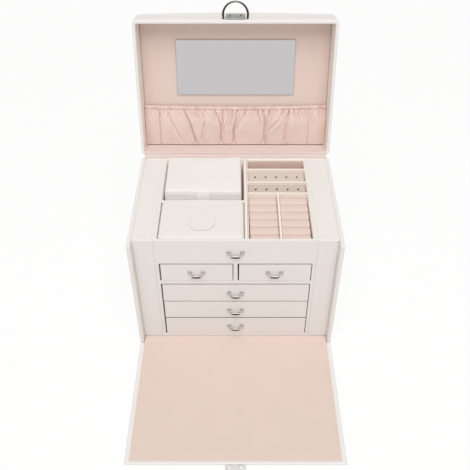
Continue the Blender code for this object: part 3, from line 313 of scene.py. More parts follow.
# Padded cover and travel case
PAD_VOXEL = 1.8 * MM
SIM_SCALE = 10
SIM_FRAMES = 20
SIM_PRESSURE = 4
SIM_QUALITY = 5
SIM_MASS = 0.15
COVER_SWELL = 0.6 * MM
COVER_CROWN = 1.2 * MM
COVER_EDGE = 2.2 * MM
COVER_CORNER = 2.5 * MM
COVER_PLAY = 0.1 * MM
TRAVEL_SWELL = 0.8 * MM
TRAVEL_WALL = 3 * MM
TRAVEL_CORNER = 4 * MM
TRAVEL_LEAST_CORNER = 0.6 * MM
TRAVEL_CROWN = 1.1 * MM
TRAVEL_DOME = 0.6 * MM
TRAVEL_LIP_ROUND = 0.6 * MM
TRAVEL_FOOT_ROUND = 1.2 * MM
TRAVEL_EDGE = 2.2 * MM
TRAVEL_FOLD = 0.6 * MM
TRAVEL_SEAM = 0.05 * MM
TRAVEL_SIDE_STEPS = 36
STRAP_LEAN = 0.9 * MM
STRAP_RISE = 1.4 * MM
STRAP_THICKNESS = 1.5 * MM
STRAP_ROUND = 0.3 * MM
HINGE_STRIP = 0.35 * MM
HINGE_STRIP_OVERLAP = 9 * MM
HINGE_STRIP_SETBACK = 1.8 * MM
HINGE_STRIP_SHORT = 6 * MM

# Pulls
POST_PITCH = 18.4 * MM
POST_SEGMENTS = 32
PETALS = 8
PETAL_DEPTH_SHARE = 0.09
BACKING_HEIGHT = 4 * MM
BACKING_THICKNESS = 0.8 * MM
BACKING_ROUND = 0.15 * MM
BAIL_LEG_TOP = 6.4 * MM
BAIL_LEG_FOOT = 6 * MM
BAIL_DROP = 6.8 * MM
BAIL_SAG = 0.6 * MM
BAIL_PIN = 9.7 * MM
BAIL_LEG_RADIUS = 0.6 * MM
BAIL_GRIP_RADIUS = 1.15 * MM
BAIL_GRIP_SWELL = 0.7
# Profile of a post: how far from the face, the radius, and whether it is scalloped into petals
POST_PROFILE = (
    (0.3 * MM, 3.1 * MM, True),
    (0.8 * MM, 3.1 * MM, True),
    (1.2 * MM, 2.7 * MM, True),
    (1.45 * MM, 2.1 * MM, True),
    (1.5 * MM, 1.5 * MM, False),
    (1.9 * MM, 1.2 * MM, False),
    (2.4 * MM, 1.25 * MM, False),
    (2.9 * MM, 1.6 * MM, False),
    (3.6 * MM, 1.75 * MM, False),
    (4.5 * MM, 1.6 * MM, False),
    (5.2 * MM, 1.15 * MM, False),
    (5.6 * MM, 0.5 * MM, False),
)
SHANK_RADIUS = 1.1 * MM

# Lid hinges, shut
HINGE_X = 90 * MM
HINGE_HALF_WIDTH = 16 * MM
HINGE_KNUCKLE = 10 * MM
HINGE_BARREL = 2.2 * MM
HINGE_PIN = 0.9 * MM
HINGE_PIN_REACH = 0.5 * MM
HINGE_ROUND = 0.25 * MM
HINGE_NECK_ROUND = 0.1 * MM
HINGE_LEAF = 13 * MM
HINGE_PLATE = 1 * MM
SCREW_RADIUS = 1.9 * MM
SCREW_HEIGHT = 0.55 * MM
# Places of the screws, as shares of a leaf's half width and of its height
SCREW_SHARES = ((-0.65, 0.35), (0, 0.7), (0.65, 0.35))

# Rivets of the flap's catch
RIVET_SINK = 0.4 * MM
RIVET_X = 7 * MM
RIVET_INSET = 8 * MM

# Pull ring on the lid's front, shut
RING_AXIS = Vector((0, -102, 204.3)) * MM
RING_RADIUS = 17.2 * MM
RING_REACH = 4.1 * MM
RING_WIRE = (1.2 * MM, 1.5 * MM)
RING_SIDES = 18
RING_EYE = 1.6 * MM
RING_EYE_WIDTH = 2.4 * MM
RING_STEPS = 72

# Stitches
STITCH_PITCH = 2.6 * MM
STITCH_LENGTH = 1.9 * MM
STITCH_WIDTH = 0.36 * MM
STITCH_INSET = 1.7 * MM
TAB_CUT = 7.4 * MM

# Camera, lights and floor
FOCAL_PIXELS = 637.02
FRAME_PIXELS = 470
SENSOR = 36
CAMERA_PLACE = (0, -0.70542, 0.76169)
CAMERA_TILT = 48.187
CAMERA_SHIFT = -0.00106
FLOOR_HALF = 12
FLOOR_DROP = 0.2 * MM
SKY_LIGHT = 0.51
SKY_WARM = (1.0, 0.965, 0.925)
FLOOR_WHITE_SHARE = 0.9
KEY_PLACE = (0, -2.27, 4.6)
KEY_SIZE = 3.6
KEY_POWER = 158
KEY_AIM = Vector((0, 0, 0.15))
RAYS = ("Is Camera Ray", "Is Glossy Ray", "Is Transmission Ray")


def box_of(node):
    """Lowest corner, highest corner, middle and half size of a node."""
    low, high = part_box(node)
    return low, high, (low + high) / 2, (high - low) / 2


class Term:
    """A node socket that takes part in sums, as in 1 - mask or mask * 0.5."""

    def __init__(self, graph, socket):
        self.graph = graph
        self.socket = socket

    def maths(self, operation, *values):
        return self.graph.node("ShaderNodeMath", dict(enumerate(values)), operation=operation)

    def __add__(self, other):
        return self.maths("ADD", self, other)

    def __radd__(self, other):
        return self.maths("ADD", other, self)

    def __sub__(self, other):
        return self.maths("SUBTRACT", self, other)

    def __rsub__(self, other):
        return self.maths("SUBTRACT", other, self)

    def __mul__(self, other):
        return self.maths("MULTIPLY", self, other)

    def __abs__(self):
        return self.maths("ABSOLUTE", self)

    def sine(self):
        return self.maths("SINE", self)

    def above(self, limit):
        return self.maths("GREATER_THAN", self, limit)

    def at_most(self, limit):
        return self.maths("MINIMUM", self, limit)

    def at_least(self, limit):
        return self.maths("MAXIMUM", self, limit)


class Graph:
    """A node tree, to which one method adds any node with its values, links and settings."""

    def __init__(self, tree, material=None):
        self.tree = tree
        self.material = material

    def node(self, kind, inputs=None, output=0, **settings):
        made = self.tree.nodes.new(kind)
        for name, value in settings.items():
            setattr(made, name, value)
        for key, value in (inputs or {}).items():
            if isinstance(value, Term):
                self.tree.links.new(value.socket, made.inputs[key])
            else:
                made.inputs[key].default_value = value
        return Term(self, made.outputs[output]) if len(made.outputs) else None

    def outputs(self, kind, names):
        """Several outputs of one node."""
        made = self.tree.nodes.new(kind)
        return [Term(self, made.outputs[name]) for name in names]

    def place(self, kind="Object"):
        """Coordinates on a piece."""
        return self.node("ShaderNodeTexCoord", output=kind)

    def parts(self, vector):
        """The X and the Y of a vector."""
        return [self.node("ShaderNodeSeparateXYZ", {"Vector": vector}, axis) for axis in "XY"]

    def mask(self, name):
        """A value that is stored on the points of a piece."""
        return self.node("ShaderNodeAttribute", output="Fac", attribute_name=name)

    def blend(self, share, first, second):
        """A colour between two colours."""
        colours = {0: share, 6: opaque(first), 7: opaque(second)}
        return self.node("ShaderNodeMix", colours, 2, data_type="RGBA")

    def noise(self, place, size, detail=2.0):
        """Soft noise from 0 to 1, with patches of one size."""
        return self.node("ShaderNodeTexNoise", {"Vector": place, "Scale": 1 / size, "Detail": detail})

    def bump(self, height, depth, strength=1.0, normal=None):
        """A normal from a height between 0 and 1."""
        inputs = {"Height": height, "Distance": depth, "Strength": strength}
        if normal:
            inputs["Normal"] = normal
        return self.node("ShaderNodeBump", inputs)

    def finish(self, inputs):
        """The end of a material with one surface shader."""
        return self.end(self.node("ShaderNodeBsdfPrincipled", inputs))

    def end(self, shader):
        """The end of a material, which it gives back."""
        self.node("ShaderNodeOutputMaterial", {"Surface": shader})
        return self.material


def opaque(colour):
    """A colour with its alpha, unless it is a link."""
    return colour if isinstance(colour, Term) else (*colour, 1)


def tinted(colour, share):
    """A colour made lighter or darker by a share."""
    return tuple(min(channel * share, 1) for channel in colour)


def new_look(name):
    """The graph of a new, empty material."""
    material = bpy.data.materials.new(name)
    material.use_nodes = True
    material.node_tree.nodes.clear()
    return Graph(material.node_tree, material)


def leather(name, colour, swell=1.0):
    """Faux leather over thin padding: fine pebbled grain, soft swells and a satin gloss."""
    graph = new_look(name)
    place = graph.place()
    drift = graph.noise(place, 3 * GRAIN_CELL)
    scaled = graph.node("ShaderNodeVectorMath", {0: place, "Scale": 1 / GRAIN_CELL}, operation="SCALE")
    shifted = graph.node("ShaderNodeVectorMath", {0: scaled, 1: drift}, operation="ADD")
    edge = graph.node("ShaderNodeTexVoronoi", {"Vector": shifted, "Scale": 1.0},
                      feature="DISTANCE_TO_EDGE")
    pebble = (edge * 4).at_most(1)
    padding = graph.noise(place, SWELL_SIZE, 1.0)
    tone = graph.noise(place, 4 * SWELL_SIZE)
    scuff = graph.noise(place, 6 * GRAIN_CELL)
    surface = graph.blend(tone, tinted(colour, 0.985), tinted(colour, 1.012))
    normal = graph.bump(padding, SWELL_DEPTH * swell, 0.5)
    return graph.finish({
        "Base Color": graph.blend(pebble, tinted(colour, 0.955), surface),
        "Roughness": 0.5 - pebble * 0.07 + scuff * 0.06,
        "Specular IOR Level": 0.42,
        "Normal": graph.bump(pebble, GRAIN_DEPTH, 0.7, normal),
    })


def velvet(name, colour, speckle=0.0, holes=False):
    """Short-pile velvet: a fine pile, patches where the nap lies another way, and a soft sheen."""
    graph = new_look(name)
    place = graph.place()
    pile = graph.noise(place, PILE_SIZE)
    nap = graph.noise(place, NAP_SIZE, 3.0)
    brushed = graph.blend(nap, tinted(colour, 0.955), tinted(colour, 1.035))
    tips = graph.blend(pile, tinted(colour, 1 - speckle), tinted(colour, 1 + speckle))
    normal = graph.bump(nap, 3 * PILE_DEPTH, 0.3)
    cloth = graph.blend(0.5, brushed, tips)
    if holes:
        # Painted highlight on the rims of the post holes, and painted shade inside them
        depth = graph.mask("hole_shade_and_highlight") * 2 - 1
        cloth = graph.blend(1 - abs(depth), cloth, tinted(colour, 1.08))
        cloth = graph.blend(depth.at_least(0), cloth, HOLE_SHADE_BROWN)
    return graph.finish({
        "Base Color": cloth,
        "Roughness": 0.82 + pile * 0.14,
        "Specular IOR Level": 0.2,
        "Sheen Weight": 0.35,
        "Sheen Roughness": 0.45,
        "Sheen Tint": opaque(tinted(colour, 1.15)),
        "Normal": graph.bump(pile, PILE_DEPTH, 0.6, normal),
    })


def woven(name, colour):
    """Thin woven cloth, its threads along the piece's own UV map in metres."""
    graph = new_look(name)
    turn = math.pi / THREAD_PITCH
    across, along = (abs((axis * turn).sine()) for axis in graph.parts(graph.place("UV")))
    weave = across * along
    slub = graph.noise(graph.place(), SLUB_SIZE)
    yarn = graph.blend(weave, tinted(colour, 0.93), tinted(colour, 1.03))
    cloth = graph.blend(slub, tinted(colour, 0.96), tinted(colour, 1.03))
    return graph.finish({
        "Base Color": graph.blend(0.5, yarn, cloth),
        "Roughness": 0.72 + weave * 0.1,
        "Specular IOR Level": 0.25,
        "Sheen Weight": 0.25,
        "Sheen Roughness": 0.5,
        "Sheen Tint": opaque(tinted(colour, 1.15)),
        "Normal": graph.bump(weave, THREAD_DEPTH, 0.5),
    })


def plated(name, colour, gloss=0.2, with_painted_shade=False):
    """Polished nickel plate with faint wear, darkened by painted shade and reflection where the piece's
    own mask has it.
    """
    graph = new_look(name)
    place = graph.place()
    cloud = graph.noise(place, CLOUD_SIZE, 3.0)
    wear = graph.noise(place, WEAR_SIZE)
    metal = graph.blend(cloud, tinted(colour, 0.88), tinted(colour, 1.1))
    if with_painted_shade:
        # Painted shade and reflection: the mask blends the metal towards near black
        metal = graph.blend(graph.mask("shade_and_reflection"), metal, PAINTED_SHADE_DARK)
    return graph.finish({
        "Base Color": metal,
        "Metallic": 1.0,
        "Roughness": gloss + cloud * 0.12,
        "Normal": graph.bump(wear, WEAR_DEPTH, 0.5),
    })


def gap_shade_finish(name, colour):
    """Brown board and its turned-in paper, seen only in the narrow gaps round the drawers, and darkened
    there as painted shade of the gaps.
    """
    graph = new_look(name)
    fibre = graph.noise(graph.place(), FIBRE_SIZE, 3.0)
    return graph.finish({
        "Base Color": graph.blend(fibre, tinted(colour, 0.85), tinted(colour, 1.15)),
        "Roughness": 0.85 + fibre * 0.1,
        "Normal": graph.bump(fibre, FIBRE_DEPTH, 0.4),
    })


def silvered(name):
    """Mirror glass with a narrow ground border, measured in the mirror's own plane."""
    graph = new_look(name)
    place = graph.place()
    middle, half = box_of("mirror")[2:]
    shifted = graph.node("ShaderNodeVectorMath", {0: place, 1: middle}, operation="SUBTRACT")
    turned = graph.node("ShaderNodeMapping", {"Vector": shifted, "Rotation": (LID_TURN, 0, 0)})
    across, upward = graph.parts(turned)
    side = abs(across).above(half.x - GROUND_BORDER)
    end = abs(upward).above(half.z / math.sin(LID_TURN) - GROUND_BORDER)
    border = (side + end).at_most(1)
    haze = graph.noise(place, HAZE_SIZE)
    return graph.finish({
        "Base Color": graph.blend(border, SILVER, GROUND_GLASS),
        "Metallic": 1.0,
        "Roughness": 0.03 + border * 0.12 + haze * 0.02,
    })


def floor_finish():
    """Pale floor: near white where it is seen or mirrored, and a plain matt floor for soft light."""
    graph = new_look("pale_floor")
    seen, mirrored, through = graph.outputs("ShaderNodeLightPath", RAYS)
    share = (seen * FLOOR_WHITE_SHARE + mirrored + through).at_most(1)
    tone = graph.noise(graph.place(), 0.5)
    pale = graph.blend(tone, (0.88, 0.88, 0.88), (0.9, 0.9, 0.9))
    matt = graph.node("ShaderNodeBsdfDiffuse", {"Color": pale})
    glow = graph.node("ShaderNodeEmission", {"Color": (1, 1, 1, 1), "Strength": 1.0})
    return graph.end(graph.node("ShaderNodeMixShader", {0: share, 1: matt, 2: glow}))


FINISHES = {
    "white_leather": leather("white_leather_look", WHITE),
    "highlit_cream_leather": leather("highlit_cream_leather_look", HIGHLIT_CREAM, 0.5),
    "lit_travel_leather": leather("lit_travel_leather_look", LIT_TRAVEL_WHITE),
    "lit_strap_leather": leather("lit_strap_leather_look", LIT_STRAP_WHITE, 0.5),
    "pink_velvet": velvet("blush_velvet_look", BLUSH),
    "lid_velvet": velvet("lid_velvet_look", LID_BLUSH),
    "shaded_bay_velvet": velvet("shaded_bay_velvet_look", SHADED_BAY_BLUSH),
    "hinge_velvet": velvet("hinge_velvet_look", HINGE_BLUSH),
    "roll_velvet": velvet("roll_velvet_look", ROLL_BLUSH),
    "beige_velvet": velvet("beige_velvet_look", BEIGE, speckle=0.2, holes=True),
    "shaded_beige_velvet": velvet("shaded_beige_velvet_look", SHADED_BEIGE, speckle=0.2, holes=True),
    "pink_cloth": woven("pocket_cloth_look", POCKET_BLUSH),
    "hem_cloth": woven("hem_cloth_look", tinted(POCKET_BLUSH, 1.03)),
    "thread": woven("thread_look", THREAD),
    "nickel": plated("nickel_look", NICKEL),
    "bright_nickel": plated("catch_nickel_look", BRIGHT_NICKEL, 0.3),
    "pull_nickel": plated("pull_nickel_look", PULL_NICKEL, 0.42),
    "bail_nickel": plated("bail_nickel_look", BAIL_NICKEL, 0.25, with_painted_shade=True),
    # Ring nickel at half the plate's brightness, as a painted dark reflection
    "ring_nickel": plated("ring_nickel_look", tinted(NICKEL, 0.5), 0.2, with_painted_shade=True),
    "gap_shade_board": gap_shade_finish("gap_shade_board_look", GAP_SHADE_BROWN),
    "gap_shade_tan": gap_shade_finish("gap_shade_tan_look", GAP_SHADE_TAN),
    "mirror_glass": silvered("mirror_look"),
}


def new_object(name, data):
    """Data as an object in the scene."""
    obj = bpy.data.objects.new(name, data)
    bpy.context.collection.objects.link(obj)
    return obj


def piece(name, mesh, finish, angle=50, shut=False, others=(), mask=None):
    """A bmesh as an object, its faces outwards, turned open if it was modelled shut."""
    bmesh.ops.recalc_face_normals(mesh, faces=mesh.faces[:])
    data = bpy.data.meshes.new(name)
    mesh.to_mesh(data)
    mesh.free()
    if shut:
        data.transform(OPEN)
    for each in (finish, *others):
        data.materials.append(FINISHES[each])
    data.shade_smooth()
    data.set_sharp_from_angle(angle=math.radians(angle))
    if mask:
        label, values = mask
        data.attributes.new(label, "FLOAT", "POINT").data.foreach_set("value", values)
    return new_object(name, data)


def settle(obj, body, finish, *nodes):
    """Ride a finished piece on its body, in the place of the nodes that it stands for."""
    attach(obj, body)
    if nodes:
        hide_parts(*nodes)
    return obj


def dressed(name, mesh, finish, body, *nodes, even=False, **details):
    """A finished piece on its body. Even shading keeps flat faces flat beside rounded edges."""
    obj = piece(name, mesh, finish, **details)
    if even:
        obj.modifiers.new("even_shading", "WEIGHTED_NORMAL").keep_sharp = True
    return settle(obj, body, finish, *nodes)


def welded(node):
    """The solid of a node with its corners joined and its flat faces whole."""
    mesh = bmesh.new()
    mesh.from_mesh(NODES[node].data)
    bmesh.ops.remove_doubles(mesh, verts=mesh.verts[:], dist=WELD)
    bmesh.ops.dissolve_limit(mesh, angle_limit=math.radians(1), verts=mesh.verts[:], edges=mesh.edges[:])
    return mesh


def sharp_edges(mesh, least_angle):
    """Edges whose two faces meet at more than an angle."""
    limit = math.radians(least_angle)
    return [edge for edge in mesh.edges if len(edge.link_faces) == 2 and edge.calc_face_angle(0) > limit]


def round_edges(mesh, edges, width, steps=ROUND_STEPS):
    """Round some edges of a mesh."""
    bmesh.ops.bevel(mesh, geom=edges, offset=width, offset_type="OFFSET", segments=steps,
                    profile=0.5, affect="EDGES", clamp_overlap=True)


def front_top_edges(mesh, low, high):
    """Edges where the front of a board bends into its top."""
    def at_bend(place):
        return abs(place.y - low.y) < NEAR and abs(place.z - high.z) < NEAR

    edges = sharp_edges(mesh, LEAST_ANGLE)
    return [edge for edge in edges if all(at_bend(vert.co) for vert in edge.verts)]


def softened(node, finish, width, steps=ROUND_STEPS, least_angle=LEAST_ANGLE, bent=False, paint=None,
             others=(), fit=None):
    """A wrapped version of a node's solid, with its edges rounded."""
    mesh = welded(node)
    for vert in mesh.verts if fit else ():
        fit(vert.co)
    if bent:
        round_edges(mesh, front_top_edges(mesh, *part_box(node)), BEND_ROUND, 5)
    round_edges(mesh, sharp_edges(mesh, least_angle), width, steps)
    if paint:
        mesh.normal_update()
        for face in mesh.faces:
            face.material_index = paint(face)
    return dressed(node + "_skin", mesh, finish, NODES[node]["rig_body"], node, even=True, others=others)


def rounded_box(mesh, low, high, width):
    """A box with round edges, added to a mesh."""
    part = bmesh.new()
    middle, span = (low + high) / 2, high - low
    for vert in bmesh.ops.create_cube(part, size=1)["verts"]:
        vert.co = Vector(vert.co[i] * span[i] for i in range(3)) + middle
    round_edges(part, part.edges[:], width)
    data = bpy.data.meshes.new("part")
    part.to_mesh(data)
    part.free()
    mesh.from_mesh(data)
    bpy.data.meshes.remove(data)


def evenly(start, end, count):
    """Places from start to end, in a number of even steps."""
    return [start + (end - start) * i / count for i in range(count + 1)]


def add_loft(mesh, rings, closed=False):
    """Skin over rings with equal numbers of points, with end caps or run round into a loop."""
    loops = [[mesh.verts.new(point) for point in ring] for ring in rings]
    following = loops[1:] + loops[:1] if closed else loops[1:]
    for near, far in zip(loops, following):
        for i in range(len(near)):
            j = (i + 1) % len(near)
            mesh.faces.new((near[i], near[j], far[j], far[i]))
    if not closed:
        mesh.faces.new(list(reversed(loops[0])))
        mesh.faces.new(loops[-1])


def lofted(rings, closed=False):
    """A new mesh with a skin over rings."""
    mesh = bmesh.new()
    add_loft(mesh, rings, closed)
    return mesh


def circle(centre, axis, radius, sides):
    """Points of a circle round an axis."""
    axis = Vector(axis).normalized()
    first = axis.orthogonal().normalized()
    second = axis.cross(first)
    angles = [math.tau * i / sides for i in range(sides)]
    return [Vector(centre) + radius * (math.cos(a) * first + math.sin(a) * second) for a in angles]


def add_rod(mesh, start, end, radius, sides=24, edge=0.15 * MM):
    """A round rod whose ends are slightly broken."""
    start, end = Vector(start), Vector(end)
    along = (end - start).normalized()
    rings = [
        circle(start, along, radius - edge, sides),
        circle(start + along * edge, along, radius, sides),
        circle(end - along * edge, along, radius, sides),
        circle(end, along, radius - edge, sides),
    ]
    add_loft(mesh, rings)


def add_wire(mesh, path, radii, sides=14, closed=False):
    """A round wire along a path, with a radius for each point."""
    points = [Vector(point) for point in path]
    count = len(points)
    side = (points[1] - points[0]).orthogonal().normalized()
    rings = []
    for i, point in enumerate(points):
        before = points[(i - 1) % count] if closed else points[max(i - 1, 0)]
        after = points[(i + 1) % count] if closed else points[min(i + 1, count - 1)]
        along = (after - before).normalized()
        side = (side - along * side.dot(along)).normalized()
        other = along.cross(side)
        angles = [math.tau * k / sides for k in range(sides)]
        rings.append([point + radii[i] * (math.cos(a) * side + math.sin(a) * other) for a in angles])
    add_loft(mesh, rings, closed=closed)


def bend(corner, before, after, radius, steps):
    """Points of a round bend that replaces a corner of a path."""
    corner, before, after = Vector(corner), Vector(before), Vector(after)
    start = corner + (before - corner).normalized() * radius
    end = corner + (after - corner).normalized() * radius
    shares = [i / steps for i in range(steps + 1)]
    return [start.lerp(corner, s).lerp(corner.lerp(end, s), s) for s in shares]


def outline(half_x, half_y, corner, swell=(0, 0), middle=(0, 0), corner_steps=6, side_steps=10):
    """Points round a rectangle with round corners, whose sides may swell along X and Y."""
    points = []
    signs = ((1, 1), (-1, 1), (-1, -1), (1, -1))
    for quarter in range(4):
        sign, following = signs[quarter], signs[(quarter + 1) % 4]
        centre = (sign[0] * (half_x - corner), sign[1] * (half_y - corner))
        for step in range(corner_steps + 1):
            angle = math.pi / 2 * (quarter + step / corner_steps)
            points.append((centre[0] + corner * math.cos(angle), centre[1] + corner * math.sin(angle)))
        angle = math.pi / 2 * (quarter + 1)
        outward = (math.cos(angle), math.sin(angle))
        start = points[-1]
        end = (following[0] * (half_x - corner) + corner * outward[0],
               following[1] * (half_y - corner) + corner * outward[1])
        for step in range(1, side_steps):
            share = step / side_steps
            arc = math.sin(math.pi * share)
            sides = zip(start, end, outward, swell)
            points.append(tuple(a + (b - a) * share + arc * n * rise for a, b, n, rise in sides))
    return [(x + middle[0], y + middle[1]) for x, y in points]


def at_height(points, z):
    """Lift flat outline points to a height."""
    return [(x, y, z) for x, y in points]


def dome_rings(edge, middle, foot_z, rise):
    """Rings that shrink from an outline to its middle and rise into a soft dome."""
    half_x = max(x for x, y in edge) - middle[0]
    half_y = max(y for x, y in edge) - middle[1]
    rings = []
    for share in DOME_SHARES:
        left_over = 1 - share
        ring = []
        for x, y in edge:
            out_x, out_y = (x - middle[0]) * left_over, (y - middle[1]) * left_over
            lift = (1 - (out_x / half_x) ** 2) * (1 - (out_y / half_y) ** 2)
            ring.append((middle[0] + out_x, middle[1] + out_y, foot_z + rise * lift))
        rings.append(ring)
    return rings


def smooth(share):
    """A soft step from 0 to 1."""
    share = min(max(share, 0), 1)
    return share * share * (3 - 2 * share)


def hump(share):
    """A soft hump: 1 in its middle, and towards 0 on both sides."""
    return math.exp(-share * share)


def quarter_round(radius, steps):
    """Inset and rise of a quarter round, from its foot on the side to its top."""
    angles = [math.pi / 2 * step / steps for step in range(steps + 1)]
    return [(radius * (1 - math.cos(a)), radius * math.sin(a)) for a in angles]


def sheet_mesh(front, back, spans):
    """A new mesh: a closed thin sheet between two grids of points, with a UV map in metres."""
    mesh = bmesh.new()
    uv = mesh.loops.layers.uv.verify()
    rows, columns = len(front), len(front[0])
    layers = [[[mesh.verts.new(point) for point in row] for row in grid] for grid in (front, back)]
    places = {}
    quads = []
    for layer in layers:
        for r, row in enumerate(layer):
            for c, vert in enumerate(row):
                places[vert] = (spans[0] * c / (columns - 1), spans[1] * r / (rows - 1))
        for r in range(rows - 1):
            for c in range(columns - 1):
                quads.append((layer[r][c], layer[r][c + 1], layer[r + 1][c + 1], layer[r + 1][c]))
    rim = [(0, c) for c in range(columns)]
    rim += [(r, columns - 1) for r in range(1, rows)]
    rim += [(rows - 1, c) for c in range(columns - 2, -1, -1)]
    rim += [(r, 0) for r in range(rows - 2, 0, -1)]
    for (r, c), (next_r, next_c) in zip(rim, rim[1:] + rim[:1]):
        top, foot = layers
        quads.append((top[r][c], top[next_r][next_c], foot[next_r][next_c], foot[r][c]))
    for quad in quads:
        for loop in mesh.faces.new(quad).loops:
            loop[uv].uv = places[loop.vert]
    return mesh


def ribbon(points, xs, thickness, lift):
    """A strip along points in a plane across X, and its length. Lift is the share of thickness above."""
    front, back = [], []
    length = 0
    for i, point in enumerate(points):
        before, after = points[max(i - 1, 0)], points[min(i + 1, len(points) - 1)]
        along = after - before
        outward = Vector((0, -along.z, along.y)).normalized()
        outward = (outward if outward.z > outward.y else -outward) * thickness[i]
        length += (point - before).length
        front.append([point + outward * lift + Vector((x, 0, 0)) for x in xs])
        back.append([point - outward * (1 - lift) + Vector((x, 0, 0)) for x in xs])
    return sheet_mesh(front, back, (xs[-1] - xs[0], length)), length


def evaluated_mesh(obj):
    """The mesh that an object's modifiers give, as a plain mesh."""
    depsgraph = bpy.context.evaluated_depsgraph_get()
    return bpy.data.meshes.new_from_object(obj.evaluated_get(depsgraph), depsgraph=depsgraph)


def reskinned(obj):
    """Give a closed pad an even skin of small faces."""
    skin = obj.modifiers.new("skin", "REMESH")
    skin.mode = "VOXEL"
    skin.voxel_size = PAD_VOXEL
    data = evaluated_mesh(obj)
    obj.modifiers.clear()
    obj.data = data
    return obj


def inflate(obj, most, keep):
    """Swell a closed pad as its stuffing would, by at most a length, where keep() lets it."""
    data = obj.data
    rest = [vert.co.copy() for vert in data.vertices]
    moved = stuffed(data)
    for vert, start, end in zip(data.vertices, rest, moved):
        step = (end - start) * keep(start)
        if step.length > most:
            step = step.normalized() * most
        vert.co = start + step
    finer = obj.modifiers.new("finer", "SUBSURF")
    finer.levels = 1
    finer.render_levels = 1
    finer.use_limit_surface = False
    obj.data = evaluated_mesh(obj)
    obj.modifiers.clear()
    obj.data.shade_smooth()
    return obj


def stuffed(data):
    """Where the corners of a closed mesh go in a short cloth run under pressure."""
    copy = data.copy()
    copy.transform(Matrix.Scale(SIM_SCALE, 4))
    trial = new_object("stuffing_trial", copy)
    cloth = trial.modifiers.new("cloth", "CLOTH")
    cloth.settings.use_pressure = True
    cloth.settings.uniform_pressure_force = SIM_PRESSURE
    cloth.settings.quality = SIM_QUALITY
    cloth.settings.mass = SIM_MASS
    cloth.settings.effector_weights.gravity = 0
    cloth.point_cache.frame_start = 1
    cloth.point_cache.frame_end = SIM_FRAMES
    scene = bpy.context.scene
    for step in range(1, SIM_FRAMES + 1):
        scene.frame_set(step)
    swollen = evaluated_mesh(trial)
    moved = [vert.co / SIM_SCALE for vert in swollen.vertices]
    scene.frame_set(1)
    bpy.data.objects.remove(trial)
    bpy.data.meshes.remove(swollen)
    return moved


def frame_paint(face):
    """Raw board, near black as painted shade, on the frame's edges that look into the drawer openings.
    """
    low, high = FRONT_FRAME_BOX
    place = face.calc_center_median()
    inside_x = min(place.x - low.x, high.x - place.x) > MM
    inside_z = min(place.z - low.z, high.z - place.z) > MM
    behind = place.y > FACE_Y + THIN_ROUND
    return 1 if abs(face.normal.y) < SIDEWAYS and inside_x and inside_z and behind else 0


def drawer_paint(face):
    """Turned-in tan paper on the edges of a drawer's front board, darkened as painted shade of the gaps
    between drawers.
    """
    place = face.calc_center_median()
    on_edge = FACE_Y + FRONT_LIP < place.y < FACE_Y + FRONT_DEPTH
    return 1 if abs(face.normal.y) < SIDEWAYS and on_edge else 0


def board_fit(node):
    """Widen an upright board of the case until it touches its neighbours."""
    low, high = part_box(node)

    def fit(place):
        if place.x - low.x < NEAR:
            place.x -= FIT
        if high.x - place.x < NEAR:
            place.x += FIT

    return fit


def drawer_fit(node):
    """Narrow a drawer's front board slightly on its left and along its top, as cut by hand."""
    low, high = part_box(node)

    def fit(place):
        if place.y < FACE_Y + FRONT_DEPTH:
            place.x += SHADOW_GAP if place.x - low.x < NEAR else 0
            place.z -= SHADOW_GAP / 2 if high.z - place.z < NEAR else 0

    return fit


def build_boards():
    """Wrapped boards of the case, the chest, the tray and the flap."""
    for node in ("base_board", "left_side_wall", "right_side_wall", "rear_wall", "flap_board"):
        softened(node, "white_leather", 2 * THIN_ROUND)
    for node in ("left_wing", "right_wing", "left_partition", "right_partition"):
        softened(node, "white_leather", SEAM_ROUND, bent="wing" in node, fit=board_fit(node))
    others = ["gap_shade_board"]
    softened("front_frame", "white_leather", THIN_ROUND, bent=True, paint=frame_paint, others=others)
    for node in ("tray_long_divider", "tray_cross_divider"):
        softened(node, "highlit_cream_leather", THIN_ROUND)
    for node in ("ring_tray_insert", "cover_ledge"):
        softened(node, "highlit_cream_leather", THIN_ROUND, least_angle=FACETED)
    for node in DRAWERS:
        softened(node, "white_leather", 2 * THIN_ROUND, least_angle=FACETED, paint=drawer_paint,
                 others=["gap_shade_tan"], fit=drawer_fit(node))
    softened("tray_floor", "pink_velvet", THIN_ROUND, least_angle=FACETED)


